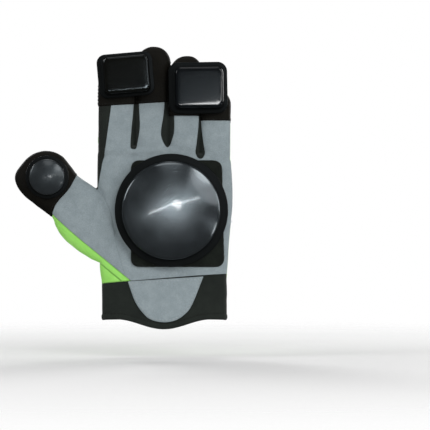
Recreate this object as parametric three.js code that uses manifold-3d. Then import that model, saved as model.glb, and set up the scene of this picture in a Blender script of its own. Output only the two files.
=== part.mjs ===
import * as THREE from "three";
import { mergeVertices } from "three/addons/utils/BufferGeometryUtils.js";
import Module from "manifold-3d";

const wasm = await Module();
wasm.setup();

// A left-hand glove for downhill longboarding, standing on its wrist opening: millimetres, +Z up the
// fingers, +X towards the little finger, the palm facing -Y. Height 0 is the hem line of the cuff.

// Cloth
const wall = 1.6;
const gap = 0.3;
const tongueThickness = 1.2;
const patchThickness = 2;
const strapThickness = 2;
const pipingProud = 0.9;

// Hand
const palmDepth = 30;
const cuffHeight = 34;
const crotchHeight = 153;
const littleCrotchDrop = 7;
const hemDrop = 8.6;
const cuffSlimming = 4;
const fingerDepth = 20.6;
const fingerGap = 1.2;
const stripWidth = 8;

// Fingers: width, height of the tip above the hem line and sideways lean of the tip
const fingers = [
  { name: "index", width: 32, reach: 229, lean: 1 },
  { name: "middle", width: 28.6, reach: 240.7, lean: 2.2 },
  { name: "ring", width: 26.8, reach: 232.5, lean: 2.4 },
  { name: "little", width: 26, reach: 203, lean: 0.6 },
];

// Thumb: length from its root in the palm to its tip, width at the cap, depth and angle from upright
const thumbLength = 94;
const thumbWidth = 48;
const thumbDepth = 25;
const thumbForward = 3;
const thumbAngle = THREE.MathUtils.degToRad(51);

// Pucks
const palmPuckRadius = 49.7;
const palmDomeRadius = 43.3;
const palmPuckThickness = 13.5;
const palmFlangeThickness = 3;
const thumbPuckRadius = 19;
const thumbDomeRadius = 15.6;
const thumbPuckThickness = 9;
const thumbFlangeThickness = 2;
const hookPadThickness = 1.5;
const hookPadMargin = 3;
const fingerPuckThickness = 11;
const fingerFlangeThickness = 2.6;
const faceCornerRadius = 4;
const blockPucks = [
  { name: "index_middle_puck", width: 49, height: 38.7, corner: 7, faceWidth: 39.2, faceHeight: 32,
    faceShift: 1.2, tilt: 5 },
  { name: "ring_little_puck", width: 51.8, height: 45.3, corner: 8, faceWidth: 41.8, faceHeight: 35.6,
    faceShift: 1.4, tilt: 1 },
];

// Sewn layers
const patchWidth = 81.5;
const patchHeight = 93.6;
const patchCorner = 8;
const strapWidth = 27;
const strapCorner = 3;
const pipingWidth = 2.6;

// Values that follow from the sizes above
const palmWidth = fingers.reduce((sum, finger) => sum + finger.width + fingerGap, fingerGap);
const palmHalf = palmWidth / 2;
const palmFront = palmDepth / 2;
const fingerFront = fingerDepth / 2;
const far = 2 * (palmWidth + crotchHeight);
const seam = gap / 2;

// Places on the glove: across the palm from -1 to 1 and up it from the cuff's top to the crotches,
// or along the thumb and across it, with + towards the wrist
const palmAt = (across, up) => [across * palmHalf, cuffHeight + up * (crotchHeight - cuffHeight)];
const cuffAt = (across, up) => [across * palmHalf, cuffHeight * up];
const thumbRoot = palmAt(-0.864, 0.376);
const thumbUp = [-Math.sin(thumbAngle), Math.cos(thumbAngle)];
const thumbOver = [-Math.cos(thumbAngle), -Math.sin(thumbAngle)];

function thumbAt(along, across) {
  const [t, a] = [along * thumbLength, (across * thumbWidth) / 2];
  return [0, 1].map((i) => thumbRoot[i] + thumbUp[i] * t + thumbOver[i] * a);
}

let edge = -palmHalf + fingerGap;
for (const finger of fingers) {
  finger.root = edge + finger.width / 2;
  finger.crotch = crotchHeight;
  edge += finger.width + fingerGap;
}
fingers[3].crotch -= littleCrotchDrop;

function fingerAt(finger, across, up) {
  const lean = finger.lean * THREE.MathUtils.clamp(up, 0, 1) ** 2;
  const x = finger.root + lean + (across * finger.width) / 2;
  return [x, finger.crotch + up * (finger.reach - finger.crotch)];
}

// The middle of the gap after a finger at a height, or a place outside the hand beyond the outer fingers
function gapAfter(i, height) {
  const edgeOf = (finger, side) => fingerAt(
    finger, side, (height - finger.crotch) / (finger.reach - finger.crotch))[0];
  if (i < 0) return edgeOf(fingers[0], -1.4);
  if (i + 1 === fingers.length) return edgeOf(fingers[i], 1.4);
  return (edgeOf(fingers[i], 1) + edgeOf(fingers[i + 1], -1)) / 2;
}

// Meshes and solids

function closed(geometry) {
  geometry.deleteAttribute("normal");
  geometry.deleteAttribute("uv");
  const merged = mergeVertices(geometry, 1e-4);
  const index = merged.index.array;
  const position = merged.attributes.position;
  const corner = (i) => new THREE.Vector3().fromBufferAttribute(position, i);
  const kept = [];
  let volume = 0;
  for (let i = 0; i < index.length; i += 3) {
    const [a, b, c] = [index[i], index[i + 1], index[i + 2]];
    if (a === b || b === c || c === a) continue;
    kept.push([a, b, c]);
    volume += corner(a).dot(corner(b).cross(corner(c)));
  }
  merged.setIndex(kept.flatMap(([a, b, c]) => (volume < 0 ? [a, c, b] : [a, b, c])));
  return merged;
}

function toSolid(geometry) {
  const merged = closed(geometry);
  return new wasm.Manifold(new wasm.Mesh({
    numProp: 3,
    vertProperties: Float32Array.from(merged.attributes.position.array),
    triVerts: Uint32Array.from(merged.index.array),
  }));
}

function toGeometry(solid) {
  const mesh = solid.getMesh();
  const geometry = new THREE.BufferGeometry();
  geometry.setAttribute("position", new THREE.BufferAttribute(mesh.vertProperties, 3));
  geometry.setIndex(Array.from(mesh.triVerts));
  return geometry;
}

const union = (solids) => solids.reduce((sum, solid) => sum.add(solid));

// One closed skin through rings of equal count, with the first and last ring closed by a point
function loft(rings, endPoints) {
  const count = rings[0].length;
  const positions = [...rings.flat(), ...endPoints].flatMap((point) => point.toArray());
  const index = [];
  for (let ring = 0; ring + 1 < rings.length; ring++) {
    for (let side = 0; side < count; side++) {
      const next = (side + 1) % count;
      const [a, b] = [ring * count + side, ring * count + next];
      index.push(a, b, b + count, a, b + count, a + count);
    }
  }
  const last = (rings.length - 1) * count;
  for (let side = 0; side < count; side++) {
    const next = (side + 1) % count;
    index.push(rings.length * count, next, side);
    index.push(rings.length * count + 1, last + side, last + next);
  }
  const geometry = new THREE.BufferGeometry();
  geometry.setAttribute("position", new THREE.Float32BufferAttribute(positions, 3));
  geometry.setIndex(index);
  return geometry;
}

// A flattened oval: half widths to either side, depths to the palm and the back, and how square each is
function oval(centre, across, half, sides) {
  const points = [];
  for (let side = 0; side < sides; side++) {
    const angle = (2 * Math.PI * side) / sides;
    const [c, s] = [Math.cos(angle), Math.sin(angle)];
    const power = 2 / (s < 0 ? half.squareFront : half.squareBack);
    const x = Math.sign(c) * Math.abs(c) ** power * (c < 0 ? half.left : half.right);
    const y = Math.sign(s) * Math.abs(s) ** power * (s < 0 ? half.front : half.back);
    points.push(new THREE.Vector3(centre[0] + across[0] * x, y - half.forward, centre[1] + across[1] * x));
  }
  return points;
}

// The hand, fingers and thumb as full forms, each shrunk by an inset or grown by a negative one

const handSides = 24;
const fingerSides = 12;
const thumbSides = 14;

// The hand from below the hem up to the crotches: half widths, depths and how square its sides are
const handRows = [
  { up: -0.17, left: 0.95, right: 0.96, front: 0.96, back: 0.96, squareFront: 2.6, squareBack: 2.5 },
  { up: 0, left: 0.955, right: 0.96, front: 1, back: 0.96, squareFront: 2.8, squareBack: 2.6 },
  { up: 0.18, left: 0.96, right: 0.95, front: 1, back: 0.97, squareFront: 3.6, squareBack: 2.7 },
  { up: 0.36, left: 0.975, right: 0.975, front: 1, back: 1, squareFront: 4.4, squareBack: 2.8 },
  { up: 0.56, left: 0.985, right: 1.012, front: 1, back: 1.03, squareFront: 4.6, squareBack: 2.8 },
  { up: 0.8, left: 0.99, right: 1.005, front: 1, back: 1, squareFront: 4.4, squareBack: 2.9 },
  { up: 0.94, left: 0.985, right: 0.99, front: 0.92, back: 0.9, squareFront: 4, squareBack: 3 },
];

// How far the line of the crotches falls towards the little finger at a place across the palm
function crotchFall(x) {
  const middleEnd = fingers[1].root + fingers[1].width / 2;
  const ringEnd = fingers[2].root + fingers[2].width / 2;
  return littleCrotchDrop * THREE.MathUtils.smoothstep(x, middleEnd, ringEnd);
}

function handForm(inset) {
  const bottom = -hemDrop - 2 * wall;
  const rings = handRows.map((row) => {
    const height = row.up < 0 ? bottom - inset : palmAt(0, row.up)[1];
    const slim = row.up <= 0 ? 1 - cuffSlimming / palmWidth : 1;
    return oval([0, height], [1, 0], {
      left: row.left * slim * palmHalf - inset,
      right: row.right * slim * palmHalf - inset,
      front: row.front * palmFront - inset,
      back: row.back * palmFront - inset,
      squareFront: row.squareFront,
      squareBack: row.squareBack,
      forward: 0,
    }, handSides);
  });
  const shoulder = rings[rings.length - 1];
  const shrink = (share) => shoulder.map((point) => new THREE.Vector3(
    point.x * (0.5 + share / 2), point.y * share, crotchHeight - inset));
  rings.push(shrink(0.8));
  for (const point of [...rings[rings.length - 1], ...shoulder]) point.z -= crotchFall(point.x);
  const top = new THREE.Vector3(0, 0, crotchHeight - inset);
  return toSolid(loft(rings, [new THREE.Vector3(0, 0, bottom - inset), top]));
}

// Each finger from inside the hand up to where its sides run straight to the rounded tip
const fingerRows = [
  { up: -0.3, wide: 0.97, deep: 1.24 },
  { up: 0.14, wide: 1, deep: 1.12 },
  { up: 0.3, wide: 1, deep: 1 },
];
const fingerDome = 1.1;
const domeAngles = [0, 40, 70];

function fingerForm(finger, inset) {
  const halfWidth = finger.width / 2;
  const domeHeight = halfWidth * fingerDome;
  const length = finger.reach - finger.crotch;
  const ringAt = (height, wide, deep) => {
    const x = fingerAt(finger, 0, (height - finger.crotch) / length)[0];
    const half = {
      left: wide, right: wide, front: deep, back: deep * 0.9, squareFront: 3, squareBack: 2.6, forward: 0,
    };
    return oval([x, height], [1, 0], half, fingerSides);
  };
  const rings = fingerRows.map((row) => ringAt(
    finger.crotch + row.up * length, row.wide * halfWidth - inset, row.deep * fingerFront - inset));
  for (const degrees of domeAngles) {
    const angle = THREE.MathUtils.degToRad(degrees);
    const height = finger.reach - domeHeight + (domeHeight - inset) * Math.sin(angle);
    const shrink = Math.cos(angle);
    rings.push(ringAt(height, (halfWidth - inset) * shrink, (fingerFront - inset) * shrink ** 0.8));
  }
  const foot = fingerAt(finger, 0, fingerRows[0].up);
  const tip = fingerAt(finger, 0, 1);
  return toSolid(loft(rings, [
    new THREE.Vector3(foot[0], 0, foot[1]), new THREE.Vector3(tip[0], 0, tip[1] - inset)]));
}

// The thumb from its root to the widest place of its cap: half widths to the wrist's side and to the
// fingers' side, and depth
const thumbRows = [
  { along: -0.19, over: 1.04, under: 0.9, deep: 0.8 },
  { along: -0.06, over: 1.14, under: 0.96, deep: 0.92 },
  { along: 0.127, over: 1.21, under: 1, deep: 1.04 },
  { along: 0.255, over: 1.19, under: 0.975, deep: 1.02 },
  { along: 0.37, over: 1.04, under: 0.95, deep: 1 },
  { along: 0.467, over: 0.87, under: 0.91, deep: 1 },
  { along: 0.531, over: 0.875, under: 0.905, deep: 1 },
  { along: 0.616, over: 0.89, under: 0.99, deep: 1 },
  { along: 0.743, over: 0.9, under: 1.1, deep: 1 },
];

function thumbForm(inset) {
  const ringAt = (along, over, under, deep) => {
    const half = {
      left: under, right: over, front: deep, back: deep * 0.92,
      squareFront: 3, squareBack: 2.6, forward: thumbForward,
    };
    return oval(thumbAt(along, 0), thumbOver, half, thumbSides);
  };
  const [half, depth] = [thumbWidth / 2, thumbDepth / 2];
  const rings = thumbRows.map((row) => ringAt(
    row.along, row.over * half - inset, row.under * half - inset, row.deep * depth - inset));
  const last = thumbRows.at(-1);
  const rise = 1 - last.along - inset / thumbLength;
  for (const degrees of domeAngles.slice(1)) {
    const angle = THREE.MathUtils.degToRad(degrees);
    const shrink = Math.cos(angle);
    const over = (last.over * half - inset) * shrink ** 0.5;
    const under = (last.under * half - inset) * shrink;
    rings.push(ringAt(last.along + rise * Math.sin(angle), over, under, (depth - inset) * shrink ** 0.8));
  }
  const ends = [thumbAt(thumbRows[0].along, 0), thumbAt(1 - inset / thumbLength, 0)];
  return toSolid(loft(rings, ends.map(([x, z]) => new THREE.Vector3(x, -thumbForward, z))));
}

function gloveForm(inset) {
  return union([handForm(inset), ...fingers.map((finger) => fingerForm(finger, inset)), thumbForm(inset)]);
}

// Outlines: lists of places in the palm's plane, pushed out or in and cut straight through the depth

function shifted(outline, distance) {
  const area = outline.reduce((sum, [x, z], i) => {
    const [nx, nz] = outline[(i + 1) % outline.length];
    return sum + x * nz - nx * z;
  }, 0);
  const out = Math.sign(area) * distance;
  const normal = ([ax, az], [bx, bz]) => {
    const length = Math.hypot(bx - ax, bz - az);
    return [(bz - az) / length, (ax - bx) / length];
  };
  return outline.map((point, i) => {
    const before = normal(outline[(i + outline.length - 1) % outline.length], point);
    const after = normal(point, outline[(i + 1) % outline.length]);
    const scale = out / (1 + before[0] * after[0] + before[1] * after[1]);
    return [point[0] + (before[0] + after[0]) * scale, point[1] + (before[1] + after[1]) * scale];
  });
}

function prism(outline, from = -far, to = far) {
  const shape = new THREE.Shape(outline.map(([x, z]) => new THREE.Vector2(x, z)));
  const geometry = new THREE.ExtrudeGeometry(shape, { depth: to - from, bevelEnabled: false });
  return toSolid(geometry.rotateX(Math.PI / 2).translate(0, to, 0));
}

const smooth = (points, steps) => new THREE.SplineCurve(points.map(([x, z]) => new THREE.Vector2(x, z)))
  .getPoints(steps).map((point) => [point.x, point.y]);

const everywhere = [[-far, -far], [far, -far], [far, far], [-far, far]];

// Seams that neighbouring pieces share

const cuffTop = smooth([cuffAt(-1.2, 0.87), cuffAt(-0.54, 0.99), cuffAt(0.58, 1.15), cuffAt(1.2, 1.19)], 5);

const thumbSeam = smooth([
  palmAt(-0.99, 0.676), palmAt(-0.88, 0.61), palmAt(-0.79, 0.52), palmAt(-0.742, 0.42),
  palmAt(-0.7, 0.27), palmAt(-0.62, 0.12), palmAt(-0.5, -0.08),
], 6);

const backThumbSeam = [
  palmAt(-0.99, 0.676), palmAt(-0.94, 0.55), palmAt(-0.915, 0.34), palmAt(-0.88, 0.13),
  palmAt(-0.86, -0.05),
];

const knuckleLine = smooth([
  palmAt(-1.1, 0.625), palmAt(-0.77, 0.638), palmAt(-0.2, 0.618), palmAt(0.34, 0.555), palmAt(0.95, 0.445),
  palmAt(1.1, 0.41),
], 6);

function hemLine() {
  const points = [];
  for (let share = -1.2; share < 1.25; share += 0.24) {
    const swing = THREE.MathUtils.clamp(Math.abs(share) / 0.7, 0, 1);
    points.push([share * palmHalf, -hemDrop * Math.cos((swing * Math.PI) / 2) ** 2]);
  }
  return points;
}

// The walls of the glove, in three stocks that the pieces are carved from: palm side, back and side edge

const shell = gloveForm(0).subtract(gloveForm(wall));
const sideOverlap = 0.05;
const stock = {
  front: shell.intersect(prism(everywhere, -far, -seam)),
  back: shell.intersect(prism(everywhere, seam, far)),
  side: shell.intersect(prism(everywhere, -seam - sideOverlap, seam + sideOverlap)),
};

function trim(sides, outline) {
  const cutter = prism(shifted(outline, seam));
  for (const side of sides) stock[side] = stock[side].subtract(cutter);
}

function carve(front, back) {
  const inFront = front && prism(shifted(front, -seam));
  const inBack = back && prism(shifted(back, -seam));
  const parts = [];
  if (front) parts.push(stock.front.intersect(inFront));
  if (back) parts.push(stock.back.intersect(inBack));
  if (front && back) parts.push(stock.side.intersect(inFront).intersect(inBack));
  if (front) trim(["front", "side"], front);
  if (back) trim(["back", "side"], back);
  return union(parts);
}

const glove = new THREE.Group();

const finish = (color, roughness = 0.85) => new THREE.MeshStandardMaterial({ color, roughness });
const materials = {
  suede: finish(0x869195, 0.95),
  black: finish(0x24292a),
  green: finish(0xa1e474, 0.8),
  white: finish(0xf2f2f2, 0.7),
  loop: finish(0x1b211d, 0.95),
  puck: finish(0x25292d, 0.25),
};

function addMesh(name, geometry, material) {
  const mesh = new THREE.Mesh(geometry, material);
  mesh.name = name;
  glove.add(mesh);
  return mesh;
}

// Seam loops end outside the glove, so that a piece takes everything beyond its seam
const left = -far;
const right = far;

// Lower edges of the fingertips on the palm side and the back, as shares of the finger's length, and
// how far each rises across the finger
const caps = [
  { front: 0.47, frontSlope: 0.06, back: 0.6, backSlope: -0.4 },
  { front: 0.43, frontSlope: 0.06, back: 0.67, backSlope: -0.25 },
  { front: 0.333, frontSlope: 0, back: 0.566, backSlope: -0.5 },
  { front: 0.512, frontSlope: 0, back: 0.555, backSlope: -0.36 },
];

function addCaps() {
  fingers.forEach((finger, i) => {
    const row = caps[i];
    const outline = (up, slope) => {
      const middle = fingerAt(finger, 0, up)[1];
      const rise = (finger.reach - middle) / 2;
      const side = (edge) => [0, 1, 2.5].map((steps) => {
        const x = gapAfter(edge, middle + steps * rise);
        return [x, middle + steps * rise + (steps ? 0 : slope * (x - fingerAt(finger, 0, up)[0]))];
      });
      return [...side(i), ...side(i - 1).reverse()];
    };
    const cap = carve(outline(row.front, row.frontSlope), outline(row.back, row.backSlope));
    addMesh(`${finger.name}_cap`, toGeometry(cap), materials.black);
  });
}

function addThumbCap() {
  const edgePoints = smooth([
    thumbAt(0.54, -1.3), thumbAt(0.53, -0.9), thumbAt(0.504, -0.33), thumbAt(0.51, 0.23),
    thumbAt(0.5, 0.55), thumbAt(0.466, 0.9), thumbAt(0.43, 1.3),
  ], 6);
  const front = [...edgePoints, thumbAt(2, 1.3), thumbAt(2, -1.3)];
  const back = [thumbAt(0.5, -1.3), thumbAt(0.48, 1.3), thumbAt(2, 1.3), thumbAt(2, -1.3)];
  addMesh("thumb_cap", toGeometry(carve(front, back)), materials.black);
}

// Strips between the fingers: half widths on the palm as shares of the strip's width, the heights of
// the belly and foot as shares of the finger's length, and the foot on the back
const strips = [
  { name: "index_middle", top: 0.3, belly: 0.44, bellyUp: 0.2, foot: -0.035, backFoot: 0.85 },
  { name: "middle_ring", top: 0.52, belly: 0.71, bellyUp: 0.17, foot: -0.03, backFoot: 0.82 },
  { name: "ring_little", top: 0.28, belly: 0.5, bellyUp: 0, foot: -0.08, backFoot: 0.73 },
];

// Green panels on the backs of the fingers: side edges as shares of the finger's half width, top and
// foot as shares of its length. Each runs on under its fingertip, which cuts its top edge.
const fingerBacks = [
  { leftTop: -0.82, leftWaist: -0.9, leftFoot: -1.06, rightTop: 0.61, rightWaist: 0.44, rightFoot: 0.66,
    top: 0.6, foot: 0.05, footSlope: 0.15 },
  { leftTop: -0.78, leftWaist: -0.61, leftFoot: -0.74, rightTop: 0.85, rightWaist: 0.8, rightFoot: 0.85,
    top: 0.67, foot: 0.068, footSlope: -0.33 },
  { leftTop: -0.65, leftWaist: -0.53, leftFoot: -0.74, rightTop: 0.88, rightWaist: 0.8, rightFoot: 0.75,
    top: 0.566, foot: -0.035, footSlope: -0.42 },
  { leftTop: -0.36, leftWaist: -0.4, leftFoot: -0.69, rightTop: 1.3, rightWaist: 1.3, rightFoot: 1.3,
    top: 0.555, foot: -0.13, footSlope: -0.5 },
];

function addFingerBacks() {
  fingers.forEach((finger, i) => {
    const row = fingerBacks[i];
    const waistUp = (row.top + row.foot) / 2;
    const outline = [
      fingerAt(finger, row.leftFoot, row.foot), fingerAt(finger, row.rightFoot, row.foot),
      fingerAt(finger, row.rightWaist, waistUp), fingerAt(finger, row.rightTop, row.top + 0.2),
      fingerAt(finger, row.leftTop, row.top + 0.2), fingerAt(finger, row.leftWaist, waistUp),
    ];
    const tilt = (row.footSlope * finger.width) / 2;
    outline[0][1] -= tilt;
    outline[1][1] += tilt;
    addMesh(`${finger.name}_back`, toGeometry(carve(null, outline)), materials.green);
  });
}

function addStrips() {
  strips.forEach((row, i) => {
    const [before, after] = [fingers[i], fingers[i + 1]];
    const length = before.reach - before.crotch;
    const between = (up) => {
      const height = after.crotch + up * length;
      return [gapAfter(i, height), height];
    };
    const beside = (up, share) => [between(up)[0] + share * stripWidth, between(up)[1]];
    const foot = between(row.foot);
    const front = [
      beside(1, -row.top), beside(row.bellyUp + 0.2, -row.top), beside(row.bellyUp, -row.belly),
      [foot[0] - row.belly * stripWidth * 0.5, foot[1]], [foot[0] + row.belly * stripWidth * 0.5, foot[1]],
      beside(row.bellyUp, row.belly), beside(row.bellyUp + 0.2, row.top), beside(1, row.top),
    ];
    const backFoot = [between(0)[0] - 0.1 * stripWidth, palmAt(0, row.backFoot)[1]];
    const back = [
      fingerAt(before, 0, 1), fingerAt(before, 0.3, 0.3), fingerAt(before, 0.75, -0.02), backFoot,
      fingerAt(after, -0.72, -0.08), fingerAt(after, -0.2, 0.3), fingerAt(after, 0, 1),
    ];
    addMesh(`${row.name}_strip`, toGeometry(carve(front, back)), materials.black);
  });
}

function addCuff() {
  const hem = hemLine();
  const backHem = cuffAt(0, -0.03)[1];
  trim(["front", "side"], [...hem, [right, 0], [right, -far], [left, -far], [left, 0]]);
  trim(["back"], [[left, backHem], [right, backHem], [right, -far], [left, -far]]);
  const front = [...hem, ...cuffTop.slice().reverse()];
  const [meet, top] = cuffAt(0.03, 1.02);
  const back = [[meet, -far], [right, -far], [right, top], [meet, top]];
  addMesh("cuff", toGeometry(carve(front, back)), materials.black);
}

function addWristBack() {
  const [high, low] = [palmAt(-1.2, 0.455), cuffAt(0.03, 1.02)];
  const outline = [[left, high[1]], high, low, [low[0], -far], [left, -far]];
  addMesh("wrist_back_panel", toGeometry(carve(null, outline)), materials.black);
}

function addThumbPanels() {
  const gussetFront = [thumbAt(-0.15, 1.08), thumbAt(-0.8, 1.08), thumbAt(-0.8, 3), thumbAt(-0.15, 3)];
  const gussetTop = palmAt(0, 0.14)[1];
  const seamAt = backThumbSeam.slice(3);
  const gussetBack = [[left, gussetTop], [seamAt[0][0], gussetTop], ...seamAt, [left, seamAt[1][1]]];
  addMesh("thumb_gusset", toGeometry(carve(gussetFront, gussetBack)), materials.green);

  const crotch = palmAt(-1.005, 0.69);
  const strip = [
    thumbAt(-0.8, 0.85), thumbAt(0.2, 0.83), thumbAt(0.7, 0.7), thumbAt(0.7, 3), thumbAt(-0.8, 3),
  ];
  const back = [[left, far], [crotch[0], far], crotch, ...backThumbSeam, [left, backThumbSeam.at(-1)[1]]];
  addMesh("thumb_back_panel", toGeometry(carve(strip, back)), materials.green);

  const front = [[left, far], [crotch[0], far], crotch, ...thumbSeam, [left, thumbSeam.at(-1)[1]]];
  addMesh("thumb_panel", toGeometry(carve(front, null)), materials.suede);
}

function addIndexSide() {
  const index = fingers[0];
  const front = [
    [left, far], fingerAt(index, -0.25, 0.5), fingerAt(index, -0.27, 0.45), fingerAt(index, -0.55, 0),
    palmAt(-0.985, 0.676), palmAt(-1.2, 0.676),
  ];
  const back = [
    [left, far], fingerAt(index, -0.5, 0.62), fingerAt(index, -0.8, 0.06),
    [left, fingerAt(index, -1, 0.06)[1]],
  ];
  addMesh("index_side_panel", toGeometry(carve(front, back)), materials.black);
}

function addBackOfHand() {
  const moved = (rise) => knuckleLine.map(([x, z]) => [x, z + rise]);
  const band = [...moved(-pipingWidth / 2), ...moved(pipingWidth / 2).reverse()];
  const bead = handForm(-pipingProud).subtract(handForm(wall)).intersect(prism(everywhere, seam, far));
  const thumbSide = prism(shifted([...backThumbSeam, [left, -far], [left, far]], seam));
  const piping = bead.intersect(prism(shifted(band, -seam))).subtract(thumbSide);
  addMesh("knuckle_piping", toGeometry(piping), materials.white);
  trim(["back", "side"], band);
  const above = [...knuckleLine, [right, far], [left, far]];
  addMesh("knuckle_panel", toGeometry(carve(null, above)), materials.black);
  addMesh("hand_back_panel", toGeometry(stock.back), materials.green);
}

// Layers sewn on the outside of the hand: a sheet of the hand's own form cut to an outline

function layer(thickness, outline, side) {
  const sheet = handForm(-gap - thickness).subtract(handForm(-gap));
  const [from, to] = side === "front" ? [-far, 0] : [seam, far];
  return sheet.intersect(prism(outline, from, to));
}

function roundedCorners(corners, radius, steps = 3) {
  return corners.flatMap((corner, i) => {
    const toward = (other) => {
      const length = Math.hypot(other[0] - corner[0], other[1] - corner[1]);
      return [0, 1].map((axis) => corner[axis] + ((other[axis] - corner[axis]) * radius) / length);
    };
    const start = toward(corners[(i + corners.length - 1) % corners.length]);
    const end = toward(corners[(i + 1) % corners.length]);
    const points = [];
    for (let step = 0; step <= steps; step++) {
      const t = step / steps;
      points.push([0, 1].map((axis) => start[axis] * (1 - t) ** 2
        + corner[axis] * 2 * t * (1 - t) + end[axis] * t ** 2));
    }
    return points;
  });
}

function addTongue() {
  const outline = smooth([
    cuffAt(-0.53, 1.04), cuffAt(-0.43, 0.5), cuffAt(-0.29, 0.17), cuffAt(-0.2, -0.02), cuffAt(0.17, -0.05),
    cuffAt(0.32, 0.12), cuffAt(0.42, 0.4), cuffAt(0.585, 1.12),
  ], 14);
  addMesh("wrist_tongue", toGeometry(layer(tongueThickness, outline, "front")), materials.suede);
}

function addStrap() {
  const [end, low] = cuffAt(-0.53, 0.02);
  const [start, high] = [cuffAt(0.89, 0)[0], low + strapWidth];
  const outline = roundedCorners([[end, low], [start, low], [start, high], [end, high]], strapCorner);
  addMesh("wrist_strap", toGeometry(layer(strapThickness, outline, "back")), materials.black);
}

function addPatch() {
  const [x, z] = palmAt(0.2, 0.497);
  const [w, h] = [patchWidth / 2, patchHeight / 2];
  const slant = 0.02 * patchWidth;
  const corners = [[x - w, z - h], [x + w, z - h], [x + w - slant, z + h], [x - w, z + h]];
  const outline = roundedCorners(corners, patchCorner);
  addMesh("palm_patch", toGeometry(layer(patchThickness, outline, "front")), materials.loop);
}

// Hard pucks, each on a hook pad: turned ones from a profile, block ones from stacked outlines

const puckSides = 24;
const puckEdge = 0.6;

function disc(profile) {
  return closed(new THREE.LatheGeometry(profile.map(([r, y]) => new THREE.Vector2(r, -y)), puckSides));
}

function addTurnedPuck(name, place, seat, radius, domeRadius, thickness, flange) {
  const padRadius = radius - hookPadMargin;
  const pad = disc([[0, 0], [padRadius, 0], [padRadius, hookPadThickness], [0, hookPadThickness]]);
  addMesh(`${name}_hook_pad`, pad, materials.loop).position.set(place[0], -seat - gap, place[1]);
  const shoulder = THREE.MathUtils.lerp(flange, thickness, 0.45);
  const puck = disc([
    [0, 0], [radius - puckEdge, 0], [radius, puckEdge], [radius, flange],
    [domeRadius + puckEdge, shoulder - puckEdge], [domeRadius - puckEdge, shoulder + puckEdge],
    [domeRadius * 0.75, THREE.MathUtils.lerp(shoulder, thickness, 0.58)],
    [domeRadius * 0.4, THREE.MathUtils.lerp(shoulder, thickness, 0.92)], [0, thickness],
  ]);
  const front = -seat - hookPadThickness - 2 * gap;
  addMesh(name, puck, materials.puck).position.set(place[0], front, place[1]);
}

function roundedRectangle(width, height, radius) {
  const points = [];
  const steps = 3;
  const corners = [[1, 1], [-1, 1], [-1, -1], [1, -1]];
  corners.forEach(([sx, sz], quarter) => {
    for (let step = 0; step <= steps; step++) {
      const angle = ((quarter + step / steps) * Math.PI) / 2;
      const x = sx * (width / 2 - radius) + radius * Math.cos(angle);
      const z = sz * (height / 2 - radius) + radius * Math.sin(angle);
      points.push([x, z]);
    }
  });
  return points;
}

// Closes a stack of rings with flat ends
function stack(rings) {
  const centre = (ring) => ring
    .reduce((sum, point) => sum.add(point), new THREE.Vector3())
    .divideScalar(ring.length);
  return closed(loft(rings, [centre(rings[0]), centre(rings.at(-1))]));
}

function addBlockPuck(puck, place) {
  const { width, height, corner, faceWidth, faceHeight, faceShift } = puck;
  const ringAt = (depth, share, trim = 0) => roundedRectangle(
    THREE.MathUtils.lerp(width, faceWidth, share) - 2 * trim,
    THREE.MathUtils.lerp(height, faceHeight, share) - 2 * trim,
    THREE.MathUtils.lerp(corner, faceCornerRadius, share) - trim / 2,
  ).map(([x, z]) => new THREE.Vector3(x + faceShift * share, -depth, z));
  const block = stack([
    ringAt(0, 0, puckEdge), ringAt(puckEdge, 0), ringAt(fingerFlangeThickness, 0),
    ringAt(fingerPuckThickness - 2 * puckEdge, 0.9), ringAt(fingerPuckThickness, 1, puckEdge),
  ]);
  const pad = stack([0, hookPadThickness].map((depth) => ringAt(depth, 0, hookPadMargin / 2)));
  const seat = -fingerFront - gap;
  const parts = [
    { name: `${puck.name}_hook_pad`, geometry: pad, y: seat, material: materials.loop },
    { name: puck.name, geometry: block, y: seat - hookPadThickness - gap, material: materials.puck },
  ];
  for (const { name, geometry, y, material } of parts) {
    const mesh = addMesh(name, geometry, material);
    mesh.position.set(place[0], y, place[1]);
    mesh.rotation.y = -THREE.MathUtils.degToRad(puck.tilt);
  }
}

function addPucks() {
  addTurnedPuck("palm_puck", palmAt(0.115, 0.521), palmFront + gap + patchThickness,
    palmPuckRadius, palmDomeRadius, palmPuckThickness, palmFlangeThickness);
  addTurnedPuck("thumb_puck", thumbAt(0.73, -0.18), thumbForward + thumbDepth / 2,
    thumbPuckRadius, thumbDomeRadius, thumbPuckThickness, thumbFlangeThickness);
  const [index, middle, ring, little] = fingers;
  const between = (one, other, up, share) => {
    const [x, z] = fingerAt(one, 0, up);
    return [THREE.MathUtils.lerp(x, fingerAt(other, 0, up)[0], share), z];
  };
  addBlockPuck(blockPucks[0], between(index, middle, 0.818, 0.255));
  addBlockPuck(blockPucks[1], between(ring, little, 0.638, 0.418));
}

addCaps();
addThumbCap();
addCuff();
addThumbPanels();
addFingerBacks();
addStrips();
addIndexSide();
addWristBack();
addBackOfHand();
addMesh("palm_panel", toGeometry(stock.front), materials.suede);
addTongue();
addStrap();
addPatch();
addPucks();

export default glove;
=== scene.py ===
# Left-hand longboard slide glove, palm towards the camera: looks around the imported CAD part.
# All shapes are worked out in millimetres in the CAD frame and scaled once, when a mesh is made.

import math

import bmesh
import bpy
import numpy as np
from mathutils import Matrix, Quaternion, Vector
from mathutils.bvhtree import BVHTree
from mathutils.kdtree import KDTree


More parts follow.
